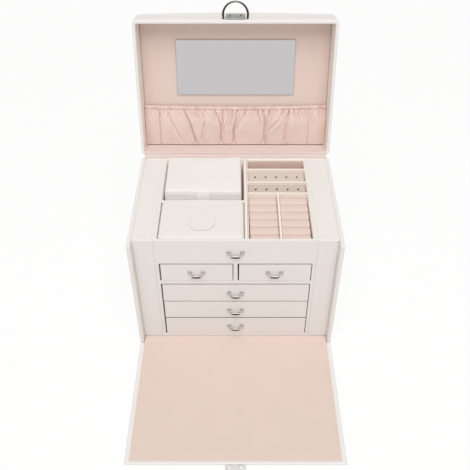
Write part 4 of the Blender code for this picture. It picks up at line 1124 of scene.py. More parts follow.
def build_lid_shell():
    """Lid with a padded rim, straight walls that swell towards a crowned top, and a hollow."""
    inner_half_x = LID_HALF_WIDTH - LID_SIDE_WALL
    inner_half_y = (2 * LID_HALF_LENGTH - LID_FRONT_WALL - LID_REAR_WALL) / 2
    inner_middle = (0, (LID_FRONT_WALL - LID_REAR_WALL) / 2)
    rings = []

    def add_inner(z, grow):
        corner = LID_INNER_CORNER + grow
        edge = outline(inner_half_x + grow, inner_half_y + grow, corner, middle=inner_middle)
        rings.append(at_height(edge, LID_RIM_Z + z))

    def add_outer(z, inset, swell=(0, 0)):
        edge = outline(LID_HALF_WIDTH - inset, LID_HALF_LENGTH - inset, LID_CORNER - inset, swell)
        rings.append(at_height(edge, LID_RIM_Z + z))
        return edge

    add_inner(LID_HOLLOW, 0)
    add_inner(LID_HOLLOW / 2, 0)
    for inset, rise in quarter_round(LID_RIM_INNER_ROUND, 5):
        add_inner(LID_RIM_INNER_ROUND - rise, inset)
    for inset, rise in reversed(quarter_round(LID_RIM_OUTER_ROUND, 6)):
        add_outer(LID_RIM_OUTER_ROUND - rise, inset)
    top_edge = LID_HEIGHT - LID_CROWN - LID_TOP_ROUND
    for share in evenly(0, 1, LID_WALL_STEPS):
        swell = tuple(rise * smooth(share) for rise in LID_SWELL)
        add_outer(LID_STRAIGHT + share * (top_edge - LID_STRAIGHT), 0, swell)
    for inset, rise in quarter_round(LID_TOP_ROUND, 8)[1:]:
        edge = add_outer(top_edge + rise, inset, LID_SWELL)
    foot = LID_RIM_Z + top_edge + LID_TOP_ROUND
    mesh = lofted(rings + dome_rings(edge, (0, 0), foot, LID_CROWN))
    for face in mesh.faces:
        place = face.calc_center_median()
        above_rim = LID_RIM_INNER_ROUND < place.z - LID_RIM_Z < LID_HOLLOW - MM
        if above_rim and abs(abs(place.x) - inner_half_x) < NEAR:
            face.material_index = 1
    dressed("lid_shell_skin", mesh, "white_leather", "lid", "lid_shell", angle=60, shut=True,
            others=["highlit_cream_leather"])

    mesh = bmesh.new()
    low = Vector((LID_PANEL_GAP - inner_half_x, FIT - LID_HALF_LENGTH + LID_FRONT_WALL, LID_PANEL_Z[0]))
    high = Vector((inner_half_x - LID_PANEL_GAP, LID_HALF_LENGTH - LID_REAR_WALL - FIT, LID_PANEL_Z[1]))
    rounded_box(mesh, low, high, THIN_ROUND)
    dressed("lid_panel_skin", mesh, "lid_velvet", "lid", "lid_panel", shut=True, even=True)


def short_creases():
    """Short folds that hang from the hem band between the long ones."""
    folds = []
    for i in range(SHORT_CREASES):
        stray = Vector([noise.noise(Vector((i * 1.7 + 0.3, row * 5.3 + 0.4, 8.5))) for row in range(3)])
        across = 0.06 + 0.89 * (i + 0.5 + 0.7 * stray.x) / SHORT_CREASES
        foot = 0.70 + 0.14 * stray.y
        slant = (0.5 - across) * 0.05 + 0.02 * stray.z
        folds.append((0.3 + 0.2 * abs(stray.z), 0.75, ((across, 0.93), (across + slant, foot))))
    return tuple(folds)


def laid_out(crease):
    """A crease in metres: its depth, its width, its points and how far it reaches along X."""
    depth_share, width_share, shares = crease
    opening = 2 * POCKET_HALF_WIDTH
    points = [Vector((across * opening, along * POCKET_LENGTH)) for across, along in shares]
    width = CREASE_WIDTH * width_share
    xs = [point.x for point in points]
    reach = CREASE_REACH * width
    return CREASE_DEPTH * depth_share, width, points, (min(xs) - reach, max(xs) + reach)


def crease_dent(place, crease):
    """How far a crease draws the cloth in at a place across and along the pocket."""
    depth, width, points, (left, right) = crease
    if not left < place.x < right:
        return 0
    offsets = []
    for start, end in zip(points, points[1:]):
        run = end - start
        share = min(max((place - start).dot(run) / run.length_squared, 0), 1)
        offsets.append(place - start - run * share)
    nearest = min(offsets, key=lambda offset: offset.length)
    if nearest.length > CREASE_REACH * width:
        return 0
    to_ends = (points[0].y - place.y, place.y - points[-1].y)
    fade = min(smooth(way / CREASE_FADE + CREASE_END_SHARE) for way in to_ends)
    reach = math.copysign(nearest.length, nearest.x) / width
    ridge = sum(height * hump((reach - side) / spread) for height, side, spread in CREASE_RIDGES)
    return depth * fade * (hump(reach) - ridge)


ALL_CREASES = [laid_out(crease) for crease in CREASES + short_creases()]


def pocket_point(across, share):
    """A point of the gathered pocket, shut: across the lid, and from its foot (0) to its hem (1)."""
    width = 2 * POCKET_HALF_WIDTH
    x = (across - 0.5) * width
    length = POCKET_LENGTH - POCKET_HEM_SAG * math.sin(math.pi * across)
    rise = POCKET_RISE + POCKET_BULGE * math.sin(math.pi * share)
    rise -= POCKET_HEM_FALL * smooth((share - 0.6) / 0.36)
    rise -= POCKET_END_FALL * (1 - smooth(min(across, 1 - across) * width / POCKET_END_RUN))
    place = Vector((across * width, share * POCKET_LENGTH))
    dent = sum(crease_dent(place, crease) for crease in ALL_CREASES)
    dent += SEAM_DEPTH * sum(hump((across - seam) * width / SEAM_WIDTH) for seam in SEAM_SHARES)
    rise -= dent * smooth((HEM_SHARE + 0.02 - share) / 0.06)
    rise -= HEM_GROOVE * hump((share - HEM_SHARE) * POCKET_LENGTH / MM)
    wander = noise.noise(Vector((across * 26, share * 1.5, 0))) * 2.2
    ripple = math.cos(math.tau * (across * GATHERS + wander))
    near_hem = smooth((share - 0.5) / 0.38)
    rise += ripple * GATHER_DEPTH * (0.1 + 0.9 * near_hem)
    wave = noise.noise(Vector((x / CLOTH_WAVE_SIZE, share * 3, 5)))
    rise += wave * CLOTH_WAVE_DEPTH * (1 - near_hem * 0.7)
    ruffle = HEM_RUFFLE * ripple * smooth((share - HEM_SHARE) / (1 - HEM_SHARE))
    y = POCKET_FOOT_Y - share * length - ruffle
    return Vector((x, y, POCKET_BACK_Z - max(rise, POCKET_LEAST_RISE)))


def build_pocket():
    """Gathered pocket with an elastic hem band, fine gathers under it and slanting folds."""
    acrosses = evenly(0, 1, POCKET_COLUMNS)
    shares = evenly(0, HEM_SHARE, POCKET_ROWS)
    front = [[pocket_point(across, share) for across in acrosses] for share in shares]
    back = [[point + Vector((0, 0, POCKET_CLOTH)) for point in row] for row in front]
    mesh = sheet_mesh(front, back, POCKET_FLAT)
    pocket = dressed("lid_pocket_cloth", mesh, "pink_cloth", "lid", "lid_pocket", angle=80, shut=True)
    front, back = [], []
    for share in evenly(0, 1, HEM_ROWS):
        swell = HEM_PUFF * math.sin(math.pi * share) ** 0.6 + HEM_EDGE
        line = [pocket_point(across, HEM_SHARE + (1 - HEM_SHARE) * share) for across in acrosses]
        front.append([point - Vector((0, 0, swell)) for point in line])
        back.append([point + Vector((0, 0, POCKET_CLOTH + swell / 2)) for point in line])
    mesh = sheet_mesh(front, back, (POCKET_FLAT[0], (1 - HEM_SHARE) * POCKET_LENGTH))
    hem = dressed("lid_pocket_hem", mesh, "hem_cloth", "lid", angle=80, shut=True)


def build_hinge_cloth():
    """Velvet from the lid's rear inner wall, round its rim and over the hinges to the case."""
    wall_y = LID_HALF_LENGTH - LID_REAR_WALL - HINGE_CLOTH / 2
    rim_z = LID_RIM_Z - HINGE_CLOTH / 2
    radius = LID_RIM_INNER_ROUND + HINGE_CLOTH / 2
    path = [(wall_y, POCKET_BACK_Z - MM - step * MM) for step in range(0, 34, 2)]
    for angle in evenly(math.pi, math.pi * 1.5, 6):
        path.append((wall_y + radius * (1 + math.cos(angle)), rim_z + radius * (1 + math.sin(angle))))
    path.append((HINGE_CLOTH_END_Y, rim_z))
    path = [OPEN @ Vector((0, y, z)) for y, z in path]
    lid_side = path[-1]
    arm = lid_side - LID_PIVOT
    start = math.atan2(arm.z, arm.y)
    for angle in evenly(start, start + LID_TURN, 14)[1:]:
        turned = arm.yz.length * Vector((math.cos(angle), math.sin(angle)))
        path.append(Vector((0, *(LID_PIVOT.yz + turned))))
    case_side = path[-1]
    path.append(case_side + HINGE_CLOTH_TAIL)
    half_x = HINGE_CLOTH_HALF_WIDTH
    xs = evenly(-half_x, half_x, SHEET_COLUMNS)
    mesh, length = ribbon(path, xs, [HINGE_CLOTH] * len(path), 0.5)
    obj = piece("lid_hinge_cloth", mesh, "hinge_velvet", 70)
    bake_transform(obj)


def build_flap_velvet():
    """One sheet of velvet from the foot of the chest, over the fold and down the flap."""
    start_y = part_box("fold_lining")[1].y
    low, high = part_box("flap_lining")
    half_x, end_y, foot_z = high.x, low.y, low.z
    middle_y = JOINTS["flap_fold"]["pos_m"][1]
    ys = []
    y = start_y
    while y > end_y:
        ys.append(y)
        y -= VELVET_FINE_STEP if abs(y - middle_y) < FOLD_BAND else VELVET_STEP
    ys.append(end_y)
    xs = evenly(-half_x, half_x, SHEET_COLUMNS)
    front, back = [], []
    for y in ys:
        dip = FOLD_DIP / 2 * hump((y - middle_y) / (FOLD_BAND / 3))
        line = []
        for x in xs:
            to_edges = (min(start_y - y, y - end_y), half_x - abs(x))
            fall = sum(VELVET_EDGE_FALL * (1 - smooth(way / VELVET_EDGE_RUN)) for way in to_edges)
            wave = VELVET_WAVE * noise.noise(Vector((x, y, 0)) / VELVET_WAVE_SIZE)
            line.append(Vector((x, y, foot_z + VELVET - dip - fall + wave)))
        front.append(line)
        back.append([Vector((x, y, foot_z - dip)) for x in xs])
    flat = (2 * half_x, start_y - end_y)
    obj = piece("flap_velvet", sheet_mesh(front, back, flat), "pink_velvet", 70)
    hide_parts("fold_lining", "flap_lining")
    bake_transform(obj)


def box_lining(name, opening, margin, body, finish):
    """A thin velvet lining of an open box: floor and four walls in one skin, below a margin."""
    low, high = (Vector(corner) for corner in OPENINGS[opening])
    high.z -= margin
    width, length, height = high - low
    middle = (low + high) / 2
    floor_z = low.z - LINING_GROW
    rings = []

    def add_ring(z, inset, corner=LINING_CORNER):
        edge = outline(width / 2 + LINING_GROW - inset, length / 2 + LINING_GROW - inset, corner,
                       middle=(middle.x, middle.y), corner_steps=4, side_steps=6)
        rings.append(at_height(edge, z))

    inner = LINING_CORNER - LINING
    for inset, rise in reversed(quarter_round(inner, 4)):
        add_ring(floor_z + LINING + inner - rise, LINING + inset, LINING_CORNER - inset / 2)
    add_ring(high.z - LINING / 3, LINING)
    add_ring(high.z, LINING * 2 / 3)
    add_ring(high.z, LINING / 3)
    add_ring(high.z - LINING / 3, 0)
    add_ring(floor_z, 0)
    obj = dressed(name, lofted(rings), finish, body, angle=60)


def build_box_linings():
    """Velvet in the drawers, the rear bay of the tray and the travel case, and leather in its bay."""
    for name in DRAWERS:
        box_lining(name + "_velvet", name + "_inside", 0, name, "pink_velvet")
    # The rear bay's lining is a darker copy of the blush velvet, as painted shade
    box_lining("rear_bay_velvet", "rear_bay", REAR_BAY_MARGIN, "case", "shaded_bay_velvet")
    build_bay_lining()
    box_lining("travel_case_velvet", "travel_case_inside", TRAVEL_LINING_MARGIN, "travel_case",
               "pink_velvet")


def build_bay_lining():
    """Leather round the walls of the travel case's bay."""
    left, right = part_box("left_partition")[1].x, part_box("tray_long_divider")[0].x
    front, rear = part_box("tray_cross_divider")[1].y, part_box("rear_wall")[0].y
    floor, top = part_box("tray_floor")[1].z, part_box("tray_cross_divider")[1].z
    half = ((right - left) / 2, (rear - front) / 2)
    middle = ((left + right) / 2, (front + rear) / 2)
    rings = []
    for inset, z in ((0.1 * MM, floor), (0.1 * MM, top - MM), (0.3 * MM, top - 0.8 * MM),
                     (LINING, top - MM), (LINING, floor)):
        edge = outline(half[0] - inset, half[1] - inset, LINING_CORNER, middle=middle)
        rings.append(at_height(edge, z + NEAR))
    obj = dressed("travel_bay_lining", lofted(rings, closed=True), "highlit_cream_leather", "case", angle=60)


def build_ring_rolls():
    """Two rows of plump velvet rolls that grip rings between them."""
    for node in ("left_ring_rolls", "right_ring_rolls"):
        low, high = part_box(node)
        pitch = (high.y - low.y) / ROLLS
        mesh = bmesh.new()
        for i in range(ROLLS):
            middle_y = low.y + (i + 0.5) * pitch
            half = (pitch - ROLL_GAP) / 2
            short = ROLL_SHORT * (1 - i / ROLLS)
            left = low.x + (short if node == "left_ring_rolls" else 0)
            right = high.x - (short if node == "right_ring_rolls" else 0)
            rings = []
            for x in evenly(left, right, ROLL_STATIONS):
                near_end = min(min(x - left, right - x) / ROLL_END, 1)
                inset = ROLL_END * 0.6 * (1 - math.sqrt(max(0, 1 - (1 - near_end) ** 2)))
                wave = ROLL_WAVE * noise.noise(Vector((x / ROLL_WAVE_SIZE, i * 3.7, low.x * 100)))
                rings.append(roll_ring(x, middle_y, half - inset * 0.4, low.z, high.z - inset + wave))
            add_loft(mesh, rings)
        dressed(node + "_skin", mesh, "roll_velvet", "case", node, angle=60)


def roll_ring(x, middle_y, half, foot_z, top_z):
    """Section of one roll: straight flanks that pull in at the foot, and a full, flattish top."""
    foot_half = half * 0.86
    points = [(middle_y - foot_half, foot_z), (middle_y - half * 0.95, foot_z + ROLL_FOOT)]
    shoulder_z = top_z - ROLL_CROWN
    for step in range(ROLL_ARC_STEPS + 1):
        angle = math.pi * (1 - step / ROLL_ARC_STEPS)
        across = math.copysign(abs(math.cos(angle)) ** ROLL_SQUARENESS, math.cos(angle))
        upward = math.sin(angle) ** ROLL_SQUARENESS
        points.append((middle_y + half * across, shoulder_z + ROLL_CROWN * upward))
    points.append((middle_y + half * 0.95, foot_z + ROLL_FOOT))
    points.append((middle_y + foot_half, foot_z))
    return [(x, y, z) for y, z in points]


def refined(low, high, centres, step):
    """Places from low to high, closer together round some centres and at both ends."""
    places = {low, high}
    places |= {low + PAD_ROUND * share for share in (0.12, 0.35, 0.65, 1)}
    places |= {high - PAD_ROUND * share for share in (0.12, 0.35, 0.65, 1)}
    for centre in centres:
        for reach in HOLE_STEPS:
            places |= {centre - reach * MM, centre + reach * MM}
    count = round((high - low) / step)
    for i in range(count):
        place = low + (high - low) * i / count
        if min(abs(place - other) for other in places) > step * 0.6:
            places.add(place)
    return sorted(place for place in places if low <= place <= high)


def build_earring_pads():
    """Sloping foam pads in velvet, each with a row of soft-rimmed holes for earring posts, with painted
    shade inside the holes and a painted highlight on their rims.
    """
    # The front pad takes a darker copy of the beige velvet, as painted shade
    for node, finish in (("rear_earring_pad", "beige_velvet"), ("front_earring_pad", "shaded_beige_velvet")):
        low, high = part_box(node)
        holes_x = evenly(low.x + HOLE_MARGIN, high.x - HOLE_MARGIN, HOLE_COUNT - 1)
        row_y = low.y + HOLE_ROW_SHARE * (high.y - low.y)
        xs = refined(low.x, high.x, holes_x, PAD_STEP)
        ys = refined(low.y, high.y, [row_y], PAD_STEP)
        top, hole_shading = [], []
        for y in ys:
            line = []
            for x in xs:
                reach = min(math.hypot(x - hole_x, y - row_y) for hole_x in holes_x)
                z = high.z - PAD_FALL * (high.y - y) / (high.y - low.y)
                edge = min(x - low.x, high.x - x, y - low.y, high.y - y)
                over = 1 - min(edge / PAD_ROUND, 1)
                z -= PAD_ROUND * (1 - math.sqrt(1 - over * over))
                z += PAD_WAVE * noise.noise(Vector((x, y, 0)) / PAD_WAVE_SIZE)
                z += HOLE_RIM * hump((reach - HOLE_RADIUS * 1.6) / HOLE_RIM_WIDTH)
                z -= HOLE_DEPTH * (1 - smooth((reach - 0.75 * HOLE_RADIUS) / (0.4 * HOLE_RADIUS)))
                line.append(Vector((x, y, min(z, high.z))))
                # Mask of the painted shade inside each hole and the painted highlight on its rim
                inner = 1 - smooth((reach - HOLE_RADIUS) / (0.3 * HOLE_RADIUS))
                rim = 1 - smooth((reach - 1.6 * HOLE_RADIUS) / (0.7 * HOLE_RADIUS))
                hole_shading.append((inner + rim) / 2)
            top.append(line)
        bottom = [[Vector((x, y, low.z)) for x in xs] for y in ys]
        mesh = sheet_mesh(top, bottom, (high - low).xy)
        hole_shading += [0] * (len(mesh.verts) - len(hole_shading))
        obj = dressed(node + "_skin", mesh, finish, "case", node, angle=80, mask=("hole_shade_and_highlight", hole_shading))


def build_cover():
    """Padded cover, swollen over its board, with a pull tab and a leather hinge strip."""
    low, high, middle, half = box_of("compartment_cover")
    top_z = high.z - COVER_CROWN
    levels = [(MM, low.z, COVER_CORNER), (0, low.z + MM, COVER_CORNER)]
    for inset, rise in quarter_round(COVER_EDGE, 6):
        levels.append((inset, top_z - COVER_EDGE + rise, COVER_CORNER + 0.2 * MM))
    rings = []
    for inset, z, corner in levels:
        size = (half.x - COVER_PLAY - inset, half.y - COVER_PLAY - inset)
        edge = outline(*size, corner, middle=middle.xy)
        rings.append(at_height(edge, z))
    mesh = lofted(rings + dome_rings(edge, middle.xy, top_z, COVER_CROWN * 0.6))
    obj = reskinned(piece("compartment_cover_pad", mesh, "white_leather"))

    def keep(start):
        return smooth((start.z - low.z) / (3 * MM))

    inflate(obj, COVER_SWELL, keep)
    confine(obj, low, high)
    settle(obj, "cover", "white_leather", "compartment_cover")
    softened("cover_pull_tab", "white_leather", 0.6 * MM, 4, 20)
    build_cover_hinge(middle.x, 2 * half.x - HINGE_STRIP_SHORT)


def build_cover_hinge(middle_x, width):
    """Leather strip from the cross divider's top on to the padded cover."""
    axis = Vector(JOINTS["cover_hinge"]["pos_m"])
    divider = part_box("tray_cross_divider")[1]
    top_z = divider.z + FIT / 4
    start_y = divider.y + FIT / 4 - HINGE_STRIP_SETBACK
    path = [Vector((0, y, top_z)) for y in evenly(start_y, axis.y, 4)]
    for share in evenly(0, 1, 12)[1:]:
        path.append(Vector((0, axis.y - share * HINGE_STRIP_OVERLAP, top_z + share * FIT)))
    shares = evenly(0, 1, len(path) - 1)
    thickness = [HINGE_STRIP * (0.15 + 0.85 * smooth(min(share, 1 - share) * 5)) for share in shares]
    xs = evenly(middle_x - width / 2, middle_x + width / 2, 50)
    mesh, length = ribbon(path, xs, thickness, 1)
    strip = piece("cover_hinge_strip", mesh, "white_leather", 70)
    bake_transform(strip)


def confine(obj, low, high):
    """Keep a swollen piece inside the box of what it stands for."""
    for vert in obj.data.vertices:
        vert.co = Vector(min(max(vert.co[i], low[i]), high[i]) for i in range(3))


def travel_ring(node, z, inset):
    """Outline of the travel case at a height, drawn in by an inset."""
    middle, half = box_of(node)[2:]
    corner = max(TRAVEL_CORNER - inset, TRAVEL_LEAST_CORNER)
    size = (half.x - inset, half.y - inset)
    edge = outline(*size, corner, middle=middle.xy, side_steps=TRAVEL_SIDE_STEPS)
    return at_height(edge, z)


def build_travel_base():
    """Wrapped base of the travel case, an open box."""
    node = "travel_case_base"
    low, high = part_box(node)
    levels = [(low.z + TRAVEL_WALL, TRAVEL_WALL)]
    for inset, rise in quarter_round(TRAVEL_LIP_ROUND, 3):
        levels.append((high.z - TRAVEL_LIP_ROUND + rise, TRAVEL_WALL - inset))
    for inset, rise in reversed(quarter_round(SEAM_ROUND, 3)):
        levels.append((high.z + TRAVEL_SEAM - SEAM_ROUND + rise, inset))
    for inset, rise in quarter_round(TRAVEL_FOOT_ROUND, 4):
        levels.append((low.z + TRAVEL_FOOT_ROUND - rise, inset))
    mesh = lofted([travel_ring(node, z, inset) for z, inset in levels])
    dressed("travel_case_base_skin", mesh, "lit_travel_leather", "travel_case", node, angle=60)


def build_travel_lid():
    """Padded lid of the travel case, with velvet on its ceiling, and its strap."""
    node = "travel_case_lid"
    low, high, middle, half = box_of(node)
    top_z = high.z - TRAVEL_CROWN
    ceiling_z = top_z - TRAVEL_WALL
    levels = [(ceiling_z, TRAVEL_WALL + TRAVEL_FOLD), (ceiling_z, TRAVEL_WALL)]
    levels += [(z, TRAVEL_WALL) for z in (ceiling_z - TRAVEL_FOLD, low.z + TRAVEL_FOLD, low.z)]
    for inset, rise in reversed(quarter_round(SEAM_ROUND, 3)):
        levels.append((low.z - TRAVEL_SEAM + SEAM_ROUND - rise, inset))
    levels.append((low.z + 3 * MM, 0))
    for inset, rise in quarter_round(TRAVEL_EDGE, 7):
        levels.append((top_z - TRAVEL_EDGE + rise, inset))
    rings = [travel_ring(node, z, inset) for z, inset in levels]
    edge = [(x, y) for x, y, z in rings[-1]]
    mesh = lofted(rings + dome_rings(edge, middle.xy, top_z, TRAVEL_DOME))
    lid = piece("travel_case_lid_pad", mesh, "lit_travel_leather")

    def keep(start):
        from_wall = min(start.x - low.x, high.x - start.x, start.y - low.y, high.y - start.y)
        inside = start.z < ceiling_z + WELD and from_wall > TRAVEL_WALL - 2 * NEAR
        return 0 if inside else smooth((start.z - low.z - 5 * MM) / (3 * MM))

    inflate(lid, TRAVEL_SWELL, keep)
    confine(lid, low, high)
    settle(lid, node, "lit_travel_leather", node)

    inset = TRAVEL_WALL + LINING_GROW
    foot_z = ceiling_z - LINING
    levels = [(ceiling_z + LINING / 2, inset), (foot_z + LINING / 3, inset)]
    levels.append((foot_z, inset + LINING / 2))
    mesh = lofted([travel_ring(node, z, inset) for z, inset in levels])
    lining = dressed("travel_case_lid_velvet", mesh, "pink_velvet", node, angle=60)
    flat = (2 * (half.x - inset), 2 * (half.y - inset))

    strap = "travel_case_strap"
    low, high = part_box(strap)
    mesh = bmesh.new()
    rear_low = Vector((low.x, high.y - STRAP_THICKNESS, low.z))
    rounded_box(mesh, rear_low, Vector((high.x, high.y, high.z + STRAP_RISE)), STRAP_ROUND)
    for vert in mesh.verts:
        vert.co.y = strap_place(vert.co.y, vert.co.z)
    dressed(strap + "_skin", mesh, "lit_strap_leather", node, strap, angle=40, even=True)


def strap_place(y, z):
    """Where the strap, which leans out towards its foot, has a point of its straight form."""
    low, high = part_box("travel_case_strap")
    return y - STRAP_LEAN * (high.z + STRAP_RISE - z) / (high.z + STRAP_RISE - low.z)


def build_pull(name, body):
    """Petalled rosettes and round posts on their backing strip, and the bail between them."""
    low, high, middle = box_of(name + "_pull_posts")[:3]
    mesh = bmesh.new()
    strip_low = Vector((low.x, high.y - BACKING_THICKNESS, middle.z - BACKING_HEIGHT / 2))
    strip_high = Vector((high.x, high.y, middle.z + BACKING_HEIGHT / 2))
    rounded_box(mesh, strip_low, strip_high, BACKING_ROUND)
    shank = (high.y - BACKING_THICKNESS / 2, FACE_Y - POST_PROFILE[0][0])
    stations = [(y, SHANK_RADIUS, False) for y in shank]
    stations += [(FACE_Y - reach, radius, petals) for reach, radius, petals in POST_PROFILE]
    for x in (middle.x - POST_PITCH / 2, middle.x + POST_PITCH / 2):
        add_loft(mesh, [post_ring(x, y, middle.z, radius, petals) for y, radius, petals in stations])
    dressed(name + "_posts_metal", mesh, "pull_nickel", body, name + "_pull_posts", angle=40)

    axis = Vector(JOINTS[name + "_bail_swing"]["pos_m"])
    leg_top, leg_foot = (-BAIL_LEG_TOP, 0, 0), (-BAIL_LEG_FOOT, 0, -BAIL_DROP)
    pin, sag = (-BAIL_PIN, 0, 0), (0, 0, -BAIL_DROP - BAIL_SAG)
    half_path = [pin, (-BAIL_LEG_TOP - 1.4 * MM, 0, 0)]
    half_path += bend(leg_top, pin, leg_foot, 0.9 * MM, 6)
    half_path += bend(leg_foot, leg_top, sag, 2 * MM, 8)
    half_path += [(-x * MM, 0, -BAIL_DROP - BAIL_SAG * (1 - x / 5.2)) for x in (3, 1.8, 0.9)]
    half_path = [Vector(point) for point in half_path]
    path = half_path + [Vector(sag)] + [Vector((-p.x, p.y, p.z)) for p in reversed(half_path)]
    shares = [smooth(-point.z / BAIL_DROP) for point in path]
    radii = [BAIL_LEG_RADIUS + (BAIL_GRIP_RADIUS - BAIL_LEG_RADIUS) * share for share in shares]
    mesh = bmesh.new()
    add_wire(mesh, [point + axis for point in path], radii)
    for vert in mesh.verts:
        share, foot = bail_grip(vert.co - axis)
        vert.co.z += (vert.co.z - axis.z - foot) * BAIL_GRIP_SWELL * share
    # Mask of painted shade and reflection on the grip's lower front
    mask = ("shade_and_reflection", [bail_painted_shade(vert.co - axis) for vert in mesh.verts])
    bail = name + "_bail"
    dressed(bail + "_metal", mesh, "bail_nickel", bail, bail, angle=60, mask=mask)


def bail_grip(place):
    """How much a place on a bail belongs to its grip, and how high the grip's foot is there."""
    across = min(abs(place.x) / BAIL_LEG_FOOT, 1)
    foot = -BAIL_DROP - BAIL_SAG * (1 - across ** 2) - BAIL_GRIP_RADIUS
    return smooth((-place.z / BAIL_DROP - 0.55) / 0.2) * (1 - across ** 3), foot


def bail_painted_shade(place):
    """Painted shade and reflection on the lower front of a bail's grip, which is darkened there."""
    share, foot = bail_grip(place)
    height = 2 * BAIL_GRIP_RADIUS * (1 + BAIL_GRIP_SWELL * share)
    upper = (place.z - foot) / height + 0.4 * place.y / BAIL_GRIP_RADIUS
    return smooth(share * 2.5) * smooth((0.8 - upper) / 0.15)


def post_ring(x, y, z, radius, petals):
    """Ring of points round a post, scalloped where it has petals."""
    points = []
    for i in range(POST_SEGMENTS):
        angle = math.tau * i / POST_SEGMENTS
        scallop = 1 - PETAL_DEPTH_SHARE * (1 - abs(math.cos(angle * PETALS / 2))) if petals else 1
        reach = radius * scallop
        points.append((x + reach * math.cos(angle), y, z + reach * math.sin(angle)))
    return points


def build_pulls():
    """Six pulls: one on the fascia and one on each drawer."""
    build_pull("fascia", "case")
    for name in DRAWERS:
        build_pull(name, name)


def hinge_leaf(name, x, upward, knuckles, shut, body):
    """One leaf of a lid hinge: plate with round corners, and knuckles on necks."""
    axis = LID_PIVOT
    front_y = LID_HALF_LENGTH + FIT
    back_y = front_y + HINGE_PLATE
    near = axis.z + upward * (HINGE_BARREL + FIT)
    far = near + upward * HINGE_LEAF
    mesh = bmesh.new()

    def add_plate(start, end, first_z, second_z, width):
        foot, top = sorted((first_z, second_z))
        rounded_box(mesh, Vector((x + start, front_y, foot)), Vector((x + end, back_y, top)), width)

    def add_barrel(start, end, radius, sides):
        add_rod(mesh, (x + start, axis.y, axis.z), (x + end, axis.y, axis.z), radius, sides)

    add_plate(-HINGE_HALF_WIDTH, HINGE_HALF_WIDTH, near, far, HINGE_ROUND)
    for start, end in knuckles:
        add_barrel(start, end, HINGE_BARREL, 32)
        add_plate(start, end, axis.z, near + upward * MM, HINGE_NECK_ROUND)
    if upward < 0:
        reach = HINGE_HALF_WIDTH + HINGE_PIN_REACH
        add_barrel(-reach, reach, HINGE_PIN, 20)
    dressed(name + "_metal", mesh, "nickel", body, name, angle=40, shut=shut, even=True)
    heads = []
    for share_x, share_z in SCREW_SHARES:
        place = (x + share_x * HINGE_HALF_WIDTH, back_y, near + upward * HINGE_LEAF * share_z)
        heads.append((Vector(place), Vector((0, 1, 0))))
    return heads


def build_hinges():
    """Two nickel hinges with their screws."""
    inner = HINGE_HALF_WIDTH - HINGE_KNUCKLE
    outer_knuckles = ((-HINGE_HALF_WIDTH, -inner), (inner, HINGE_HALF_WIDTH))
    middle_knuckle = ((-inner + FIT, inner - FIT),)
    case_heads, lid_heads = [], []
    for side, x in (("left", -HINGE_X), ("right", HINGE_X)):
        case_heads += hinge_leaf(side + "_hinge_case_leaf", x, -1, outer_knuckles, False, "case")
        lid_heads += hinge_leaf(side + "_hinge_lid_leaf", x, 1, middle_knuckle, True, "lid")
    scatter_heads("case_hinge_screws", case_heads, "case", False)
    scatter_heads("lid_hinge_screws", lid_heads, "lid", True)


def build_keeper():
    """Keeper on the lid's front, the pull ring in its pins, and the flap's catch plate."""
    softened("latch_keeper", "nickel", 0.2 * MM, 2, 30)
    softened("flap_catch", "bright_nickel", 0.15 * MM, 2, 30)
    dip = math.asin(RING_REACH / RING_RADIUS)
    path, radii, shares = [], [], []
    for angle in evenly(-dip, math.pi + dip, RING_STEPS):
        low_side = abs(math.cos(angle)) ** 1.5
        radii.append(RING_WIRE[0] + (RING_WIRE[1] - RING_WIRE[0]) * low_side)
        # Painted shade and reflection, darkest on the ring's lower sides
        shares += [0.35 + 0.65 * low_side] * RING_SIDES
        reach = -RING_REACH - RING_RADIUS * math.sin(angle)
        path.append(RING_AXIS + Vector((RING_RADIUS * math.cos(angle), reach, 0)))
    mesh = bmesh.new()
    add_wire(mesh, path, radii, RING_SIDES)
    for end in (path[0], path[-1]):
        half = Vector((RING_EYE_WIDTH / 2, 0, 0))
        add_rod(mesh, end - half, end + half, RING_EYE, 24)
    mask = ("shade_and_reflection", shares + [1] * (len(mesh.verts) - len(shares)))
    dressed("pull_ring_metal", mesh, "ring_nickel", "pull_ring", "pull_ring", shut=True, mask=mask)

    low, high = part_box("flap_catch")
    rivet_z = low.z + RIVET_SINK + NEAR
    places = [Vector((x, high.y - RIVET_INSET, rivet_z)) for x in (-RIVET_X, RIVET_X)]
    scatter_heads("flap_catch_rivets", [(place, Vector((0, 0, -1))) for place in places], "flap", False)


def new_tree(name, sockets):
    """The graph of an empty geometry tree, the identifiers of its inputs, and the inputs themselves."""
    tree = bpy.data.node_groups.new(name, "GeometryNodeTree")
    tree.interface.new_socket("Geometry", in_out="INPUT", socket_type="NodeSocketGeometry")
    identifiers = {}
    for label, kind in sockets.items():
        made = tree.interface.new_socket(label, in_out="INPUT", socket_type="NodeSocket" + kind)
        identifiers[label] = made.identifier
    tree.interface.new_socket("Geometry", in_out="OUTPUT", socket_type="NodeSocketGeometry")
    graph = Graph(tree)
    return graph, identifiers, graph.outputs("NodeGroupInput", ("Geometry", *sockets))


def end_tree(graph, points, thing, rotation, material):
    """Set one thing on each point, give it its material and end the tree."""
    placed = graph.node("GeometryNodeInstanceOnPoints",
                        {"Points": points, "Instance": thing, "Rotation": rotation})
    whole = graph.node("GeometryNodeRealizeInstances", {"Geometry": placed})
    rounded = graph.node("GeometryNodeSetShadeSmooth", {"Geometry": whole})
    finished = graph.node("GeometryNodeSetMaterial", {"Geometry": rounded, "Material": material})
    graph.node("NodeGroupOutput", {"Geometry": finished})


